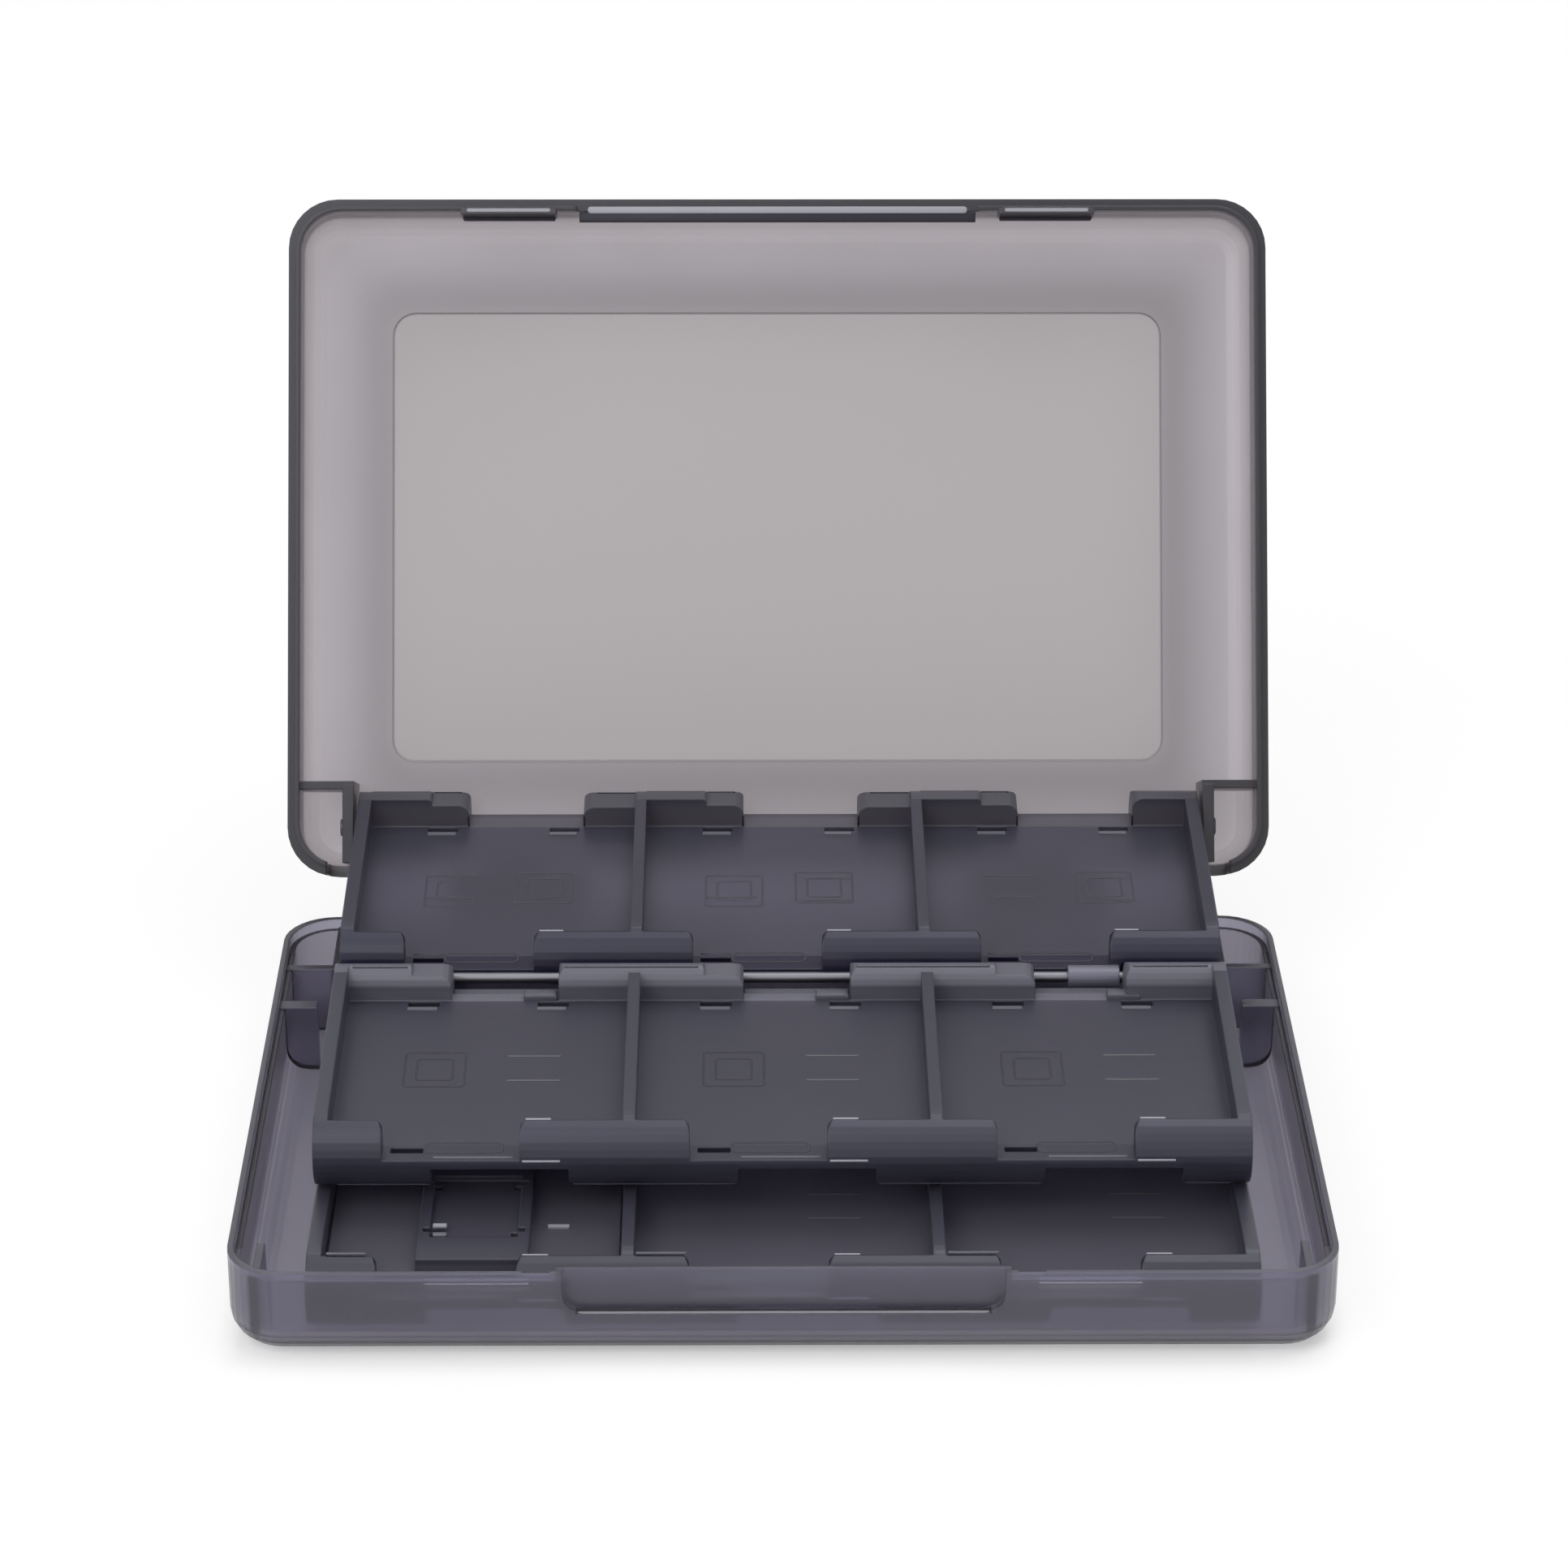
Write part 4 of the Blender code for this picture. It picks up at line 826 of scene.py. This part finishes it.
def lines(spans: tuple[Pair, ...], low: Pair, high: Pair) -> tuple[Box, ...]:
    """Boxes along X, from each span, with the lowest and the highest Y and Z of all."""
    return tuple(((start, *low), (end, *high)) for start, end in spans)


def in_pockets(name: str, finish: str, boxes: tuple[Box, ...], **settings: Any) -> Detail:
    """A detail of each pocket, on both faces of a tray."""
    return Detail(name, finish, boxes, places=COLUMNS, both_faces=True, **settings)


def pocket_frames(side: float, finish: str) -> Detail:
    """Two plain rounded rectangles, one in the other, on each pocket's floor."""
    middle_x, middle_y = -0.0063 * side, -0.0183
    boxes = tuple(((middle_x - half_x, middle_y - half_y, LINE_FOOT),
                   (middle_x + half_x, middle_y + half_y, LINE_TOP))
                  for half_x, half_y in ((0.0041, 0.0043), (0.0025, 0.0027)))
    return in_pockets("pocket_frames", finish, boxes, work=Work.RING, radius=0.0006, line=0.00028)


def pocket_bars(side: float, finish: str) -> Detail:
    """Two plain bars on each pocket's floor."""
    start, end = sorted((0.0032 * side, 0.0102 * side))
    half = 0.00018
    boxes = tuple(((start, middle - half, LINE_FOOT), (end, middle + half, LINE_TOP))
                  for middle in (-0.0150, -0.0210))
    return in_pockets("pocket_bars", finish, boxes, work=Work.PLAIN, inset=(1.0, 0.00005, 0.0))


# Bumps inside the front tabs, which hold a card down; their pale finish paints the highlight on their tops.
CARD_GRIPS = in_pockets("card_grips", "painted_highlight_moulding",
                        (((0.0064, -0.0370, 0.0036), (0.0097, -0.0360, 0.0046)),),
                        work=Work.REAR_EDGES, radius=0.00028, segments=3)
# The pale edges in front of the two slots behind each pocket, painted highlights.
SLOT_LIPS = in_pockets("slot_lips", "painted_highlight_lip",
                       lines(((-0.0109, -0.0068), (0.0065, 0.0105)), (-0.0034, FLOOR - SINK),
                             (-0.0026, FLOOR + 0.00012)),
                       work=Work.PLAIN, inset=(1.0, 0.0001, -0.00004))
# The rounded outline beside the slot in each front gap.
FRONT_LIPS = in_pockets("front_lips", "fine_line",
                        (((-0.0067, -0.0384, LINE_FOOT), (0.0036, -0.0358, LINE_TOP)),),
                        work=Work.RING, radius=0.0009, line=0.00034)
# The low shelf between each rear finger gap and its right slot.
REAR_SHELVES = in_pockets("rear_shelves", "shelf_moulding",
                          (((0.0047, -0.0010, FLOOR - SINK), (0.0092, 0.0006, FLOOR + 0.0009)),),
                          work=Work.TOP_EDGES, radius=0.00035, segments=3)
# The thin dark ledge between the plate and the rod in each rear gap, a sheet of painted shade where the rod's
# shadow falls.
ROD_SHELVES = Detail("rod_shelves", "shelf_moulding",
                     lines(tuple((column - 0.0049, column + end) for column, end in
                                 ((-COLUMN_PITCH, 0.0093), (0.0, 0.0093), (COLUMN_PITCH, 0.0071))),
                           (0.00085, -0.00062), (0.0036, -0.0002)), radius=0.0001)
# The front edge of the plate in each front gap, with a painted highlight.
PLATE_EDGES = in_pockets("plate_edges", "painted_highlight_lip",
                         (((-0.0054, -0.0395, FLOOR - 0.00012), (0.0049, -0.0391, FLOOR + 0.00004)),))
# The painted highlight along the top of each rear tab.
KNUCKLE_LINES = Detail("knuckle_lines", "painted_highlight_lip",
                       lines(((-0.0576, -0.0502), (-0.0291, -0.0111), (0.0102, 0.0282), (0.0475, 0.0576)),
                             (0.0007, 0.00485), (0.0010, 0.00508)), both_faces=True)
# Pale strips below the front tabs, beside the plate, painted highlights on their edges.
TAB_FEET = Detail("tab_feet", "painted_highlight_moulding", (((0.0060, -0.0403, 0.00045), (0.0109, -0.0400, 0.00072)),),
                  radius=0.00006, places=COLUMNS)
# The painted highlights along the foot of the front tabs of the lower face.
UNDER_TAB_LINES = Detail("under_tab_lines", "painted_highlight_lip",
                         lines(((-0.0572, -0.0454), (-0.0269, -0.0061), (0.0124, 0.0332),
                                (0.0517, 0.0576)), (-0.0377, -0.00462), (-0.0374, -0.00445)),
                         radius=0.00004)
# The painted highlights along the tops of the front tabs.
TAB_LINES = Detail("tab_lines", "painted_highlight_lip",
                   lines(((-0.0575, -0.0525), (-0.0186, -0.0122), (0.0207, 0.0271)),
                         (-0.0370, 0.00495), (-0.0366, 0.00512)), radius=0.00004, both_faces=True)
# Two dark grooves beside each slot in the front gaps, whose shade is painted on flush bars.
SLOT_BARS = in_pockets("slot_bars", "fine_line",
                       tuple(((-0.0109, middle - 0.0002, FLOOR - 0.00005),
                              (-0.0067, middle + 0.0002, FLOOR + 0.00004)) for middle in (-0.0362, -0.0391)),
                       radius=0.00003)
# The dark lines along the tops and ends of the rear tabs, painted shade.
TAB_OUTLINES = in_pockets("tab_outlines", "painted_shade_lip",
                          (((-0.0189, 0.0017, 0.0046), (-0.0105, 0.0021, 0.00476)),
                           ((-0.0101, 0.0027, 0.00397), (-0.0062, 0.0031, 0.00413)),
                           ((0.0132, 0.0030, 0.00367), (0.0188, 0.0034, 0.00383)),
                           *lines(((-0.0052, -0.00495), (0.01135, 0.0116)),
                                  (-0.00095, FLOOR - SINK), (-0.0007, 0.0023))))
EVERY_TRAY = (CARD_GRIPS, SLOT_LIPS)
PLAIN_BARS = pocket_bars(1.0, "pale_bar")
FRONT_TRAY_REST = (FRONT_LIPS, REAR_SHELVES, ROD_SHELVES, PLATE_EDGES, KNUCKLE_LINES, TAB_FEET,
                   UNDER_TAB_LINES)
# The pale strip along the foot of the lid's front rib, painted light, the dark lip behind it, painted shade,
# then the paler ends of the two side snap tabs, painted light, and the dark fillets where they leave the rim,
# painted shade.
LID_DETAILS = (
    Detail("rib_strip", "painted_light_strip", (((-0.0272, FRONT + 0.00105, RIB_FOOT - 0.00016),
                                        (0.0272, FRONT + 0.00205, RIB_FOOT + 0.0001)),),
           Work.UPRIGHT_EDGES, 0.00045, 4, inset=(-1.0, 0.00008, 0.00005)),
    Detail("rib_line", "painted_shade_lip", (((-0.0284, FRONT + 0.00185, RIB_FOOT - 0.00008),
                                     (0.0284, FRONT + 0.00325, RIB_FOOT + 0.0006)),), radius=0.00006),
    Detail("tab_caps", "painted_light_strip", (((-0.0060, FRONT + 0.00180, 0.0095),
                                       (0.0060, FRONT + 0.00235, 0.0097)),),
           Work.UPRIGHT_EDGES, 0.00028, 4, places=SNAP_TABS),
    Detail("tab_feet", "painted_shade_lip", (((-0.0066, FRONT + 0.0026, RIM - 0.0008),
                                     (0.0066, FRONT + 0.0031, RIM + 0.0004)),),
           Work.UPRIGHT_EDGES, 0.0002, 3, places=SNAP_TABS))
# The front edge of the thumb recess's ledge, a pale strip that paints its highlight.
BASE_DETAILS = (Detail("ledge_edge", "painted_light_strip", (((-0.0258, FRONT + 0.00002, LEDGE - 0.00005),
                                                     (0.0258, FRONT + 0.0005, LEDGE + 0.00010)),),
                       Work.TOP_EDGES, 0.00004),)
# The two ends of the memory card holder's clip, and the low catch at the right of its plate, in pale finishes
# that paint their highlights.
CLIP_END = (((-0.0009, -0.00035, CLIP_TOP - 0.0002), (0.0009, 0.00035, CLIP_TOP + 0.00025)),)
HOLDER_DETAILS = (
    Detail("clip_tip", "painted_light_strip", CLIP_END, Work.TOP_EDGES, 0.00015,
           places=((-COLUMN_PITCH - 0.0044, -0.0283, 0.0),)),
    Detail("clip_heel", "painted_highlight_lip", CLIP_END, Work.TOP_EDGES, 0.00015,
           places=((-COLUMN_PITCH - 0.0043, -0.0305, 0.0),)),
    Detail("card_catch", "painted_light_strip", (((-COLUMN_PITCH + 0.0092, -0.0258, 0.00185),
                                         (-COLUMN_PITCH + 0.0120, -0.0252, 0.00235)),), radius=0.00008))


@dataclass(frozen=True)
class DressedPart:
    """A part of the case with small details, modelled in a frame of their own."""

    name: str
    details: tuple[Detail, ...]
    body: str = "base"
    surface: str = "smoke_tray"
    origin: Point | Vector = (0.0, 0.0, 0.0)
    tilt: float = 0.0
    is_smooth: bool = True

    def build(self, finishes: dict[str, bpy.types.Material]) -> list[bpy.types.Object]:
        """Models every detail, lays it in place on its body and gives it its finish.

        Args:
            finishes: The finishes by their names.

        Returns:
            The finished pieces.
        """
        pieces = []
        for detail in self.details:
            obj = Bench.lay(detail.build(self.name + "_"), self.origin, self.tilt)
            obj.data.materials.clear()
            obj.data.materials.append(finishes[detail.finish])
            if self.is_smooth:
                Bench.only(obj)
                bpy.ops.object.shade_smooth_by_angle(angle=SMOOTH_ANGLE)
            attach(obj, self.body)
            pieces.append(obj)
        return pieces


LOWER_REAR_ORIGIN = (0.0, 0.0414, 0.00705)
LOWER_FRONT_ORIGIN = (0.0, -0.0060, 0.00705)
DRESSED_PARTS = (
    DressedPart("upper_rear_tray",
                (*EVERY_TRAY, pocket_frames(-1.0, "faint_line"), pocket_bars(-1.0, "faint_line"),
                 FRONT_LIPS, SLOT_BARS, TAB_OUTLINES),
                "rear_upper_tray", origin=(0.0, 0.0574204, 0.02232603), tilt=math.radians(3.49924)),
    DressedPart("upper_front_tray",
                (*EVERY_TRAY, pocket_frames(1.0, "fine_line"), PLAIN_BARS, *FRONT_TRAY_REST),
                "front_upper_tray", origin=(0.0, 0.01010573, 0.01948654), tilt=math.radians(2.99924)),
    DressedPart("lower_rear_tray", (*EVERY_TRAY, PLAIN_BARS, FRONT_LIPS, SLOT_BARS),
                origin=LOWER_REAR_ORIGIN),
    DressedPart("lower_front_tray", (*EVERY_TRAY, PLAIN_BARS, *FRONT_TRAY_REST, TAB_LINES),
                origin=LOWER_FRONT_ORIGIN),
    DressedPart("lid", LID_DETAILS, "lid", "smoke_shell", shift_about_hinge(-LID_ANGLE), -LID_ANGLE),
    DressedPart("base", BASE_DETAILS, surface="smoke_shell", is_smooth=False),
    DressedPart("holder", HOLDER_DETAILS, origin=LOWER_FRONT_ORIGIN, is_smooth=False))


# The base, with painted shade in its thick plastic; its zones paint shade at its rear corners, in the thumb
# recess and under its ledge, a highlight along a snap groove at each side of its front, and shade along the
# inner step of each side rim.
BASE_PLASTIC = SmokePlastic(
    "smoke_base", (0.72, 0.71, 0.92), (0.80, 0.79, 1.00), 0.30, 0.94, (0.42, 0.38, 0.36), 550.0,
    thick_shade=0.2, zones=(
        Zone((0.050, 0.030, -0.1), (0.1, 0.060, 0.1), (0.06, 0.050, 0.030), 0.4, 0.009),
        Zone((-1.0, -0.0486, 0.00668), (0.0277, -0.0471, 0.0126), (0.40, 0.39, 0.47), 0.5, 0.0003),
        Zone((-1.0, -0.0486, 0.00660), (0.0262, -0.0471, 0.00695), (0.06, 0.05, 0.06), 0.9),
        Zone((0.0316, -0.0486, 0.01035), (0.0446, -0.0483, 0.01070), (1.0, 1.0, 1.0), 1.0, 0.00012),
        Zone((0.0683, -0.0400, 0.0110), (0.0694, 0.0400, 0.0112), (0.10, 0.08, 0.14), 0.8, 0.00008)))
# The lid: painted light along its walls, where it is paler than in its middle, and painted shade at its rim
# and in its thick plastic.
LID_PLASTIC = SmokePlastic(
    "smoke_lid", (0.78, 0.76, 0.82), (0.86, 0.84, 0.91), 0.36, 0.90, (0.46, 0.40, 0.38), 580.0,
    thick_shade=0.9, glow=0.36, rim_shade=0.84, rim_tint=(0.027, 0.020, 0.046), lid_angle=LID_ANGLE)
# The lower trays: the upper trays' smoke plastic painted paler for the light from beneath, with painted
# highlights at edges; its zones paint shade on the tops of the tabs and on the front tabs.
LOWER_TRAY_PLASTIC = SmokePlastic(
    "smoke_lower_tray", (0.230, 0.225, 0.290), (0.270, 0.265, 0.335), 0.36, 0.75, (0.62, 0.58, 0.58),
    600.0, thick_shade=0.0, edge_shade=0.0, edge_light=0.6, specular=0.4, edge_radius=0.00035, zones=(
        Zone((-1.0, -0.1, 0.0100), (1.0, 0.1, 0.1), (0.10, 0.10, 0.16), 0.7, 0.0003),
        Zone((-1.0, -0.0470, 0.0), (1.0, -0.0427, 0.1), (0.06, 0.06, 0.105), 0.9)))
# Painted shade on the upper rear tray's front tabs, painted light on its knuckles, and painted light on its
# rear tabs, where the lid's light shines through.
UPPER_REAR_ZONES = (Zone((-1.0, 0.0172, 0.0), (1.0, 0.0208, 0.1), (0.035, 0.030, 0.095)),
                    Zone((-1.0, 0.0140, 0.0), (1.0, 0.0171, 0.1), (0.50, 0.50, 0.62)),
                    Zone((-1.0, 0.0562, 0.0), (1.0, 0.0640, 0.1), (0.29, 0.28, 0.34)))
# Painted light on the upper front tray's knuckles and painted shade on its front tabs.
UPPER_FRONT_ZONES = (Zone((-1.0, 0.0090, 0.0), (1.0, 0.0190, 0.1), (0.50, 0.50, 0.62)),
                     Zone((-1.0, -0.0320, 0.0), (1.0, -0.0264, 0.1), (0.105, 0.105, 0.170), 0.9))
PIN_PLASTIC = SmokePlastic("moulded_pin", (0.10, 0.10, 0.12), (0.12, 0.12, 0.14), 0.4)
INSERT_SHEET = InsertSheet("frosted_insert", (0.392, 0.370, 0.380), 0.6)
ROD_STEEL = DrawnSteel("steel_rod", (0.21, 0.21, 0.235), 0.42)
# The first three finishes paint highlights and light on small pieces, and the fourth paints shade.
SMALL_FINISHES = (SmokePlastic("painted_highlight_moulding", (0.30, 0.30, 0.35), (0.36, 0.36, 0.41), 0.4),
                  SmokePlastic("painted_highlight_lip", (0.105, 0.105, 0.130), (0.13, 0.13, 0.16), 0.4),
                  SmokePlastic("painted_light_strip", (0.26, 0.26, 0.29), (0.29, 0.29, 0.32), 0.5),
                  SmokePlastic("painted_shade_lip", (0.013, 0.011, 0.018), (0.016, 0.014, 0.021), 0.5, specular=0.3),
                  SmokePlastic("pale_bar", (0.115, 0.115, 0.135), (0.13, 0.13, 0.15), 0.5),
                  SmokePlastic("faint_line", (0.062, 0.060, 0.075), (0.07, 0.068, 0.084), 0.5),
                  SmokePlastic("fine_line", (0.034, 0.031, 0.047), (0.04, 0.037, 0.054), 0.5),
                  SmokePlastic("shelf_moulding", (0.066, 0.068, 0.086), (0.080, 0.082, 0.10), 0.4))


def upper_tray_plastic(tray: str, zones: tuple[Zone, ...]) -> SmokePlastic:
    """The plastic of an upper tray, darker than the lower trays' copy of it, which is painted paler."""
    return SmokePlastic(
        "smoke_" + tray, (0.150, 0.150, 0.215), (0.180, 0.180, 0.255), 0.36, 0.80, (0.62, 0.58, 0.58),
        800.0, thick_shade=0.05, edge_shade=0.0, edge_light=0.6, specular=0.36,
        specular_tint=(0.86, 0.88, 1.0), edge_radius=0.00035, zones=zones)


@dataclass
class CaseFinishes:
    """Which finish each node of the case has."""

    frame: dict[str, Any]

    def dress(self, effects: Effects) -> dict[str, bpy.types.Material]:
        """Gives every CAD node its finish.

        Args:
            effects: The shared node groups.

        Returns:
            The finishes of the small mouldings, by their names.
        """
        named = {"base_shell": BASE_PLASTIC.build(effects), "lid_shell": LID_PLASTIC.build(effects)}
        for tray, zones in (("upper_rear_tray", UPPER_REAR_ZONES), ("upper_front_tray", UPPER_FRONT_ZONES)):
            named[tray] = upper_tray_plastic(tray, zones).build(effects)
        lower_tray = LOWER_TRAY_PLASTIC.build(effects)
        pin = PIN_PLASTIC.build(effects)
        panel = INSERT_SHEET.build(effects)
        steel = ROD_STEEL.build(effects)
        for name, node in self.frame["nodes"].items():
            finish = named.get(name, lower_tray)
            if "pivot_pin" in name:
                finish = pin
            elif "hinge_pin" in name or "rod" in name:
                finish = steel
            elif "panel" in name:
                finish = panel
            node.data.materials.clear()
            node.data.materials.append(finish)
            LOG.info("finish %s on %s", finish.name, name)
        return {one.name: one.build(effects) for one in SMALL_FINISHES}


def main() -> None:
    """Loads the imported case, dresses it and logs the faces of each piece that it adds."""
    logging.basicConfig(level=logging.INFO, format="%(name)s: %(message)s")
    for obj in list(bpy.data.objects):
        bpy.data.objects.remove(obj, do_unlink=True)
    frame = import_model()
    bpy.ops.object.select_all(action="DESELECT")
    Studio().build()
    finishes = CaseFinishes(frame).dress(Effects())
    for part in DRESSED_PARTS:
        for piece in part.build(finishes):
            LOG.info("made %s, %d faces", piece.name, len(piece.data.polygons))


if __name__ == "__main__":
    main()
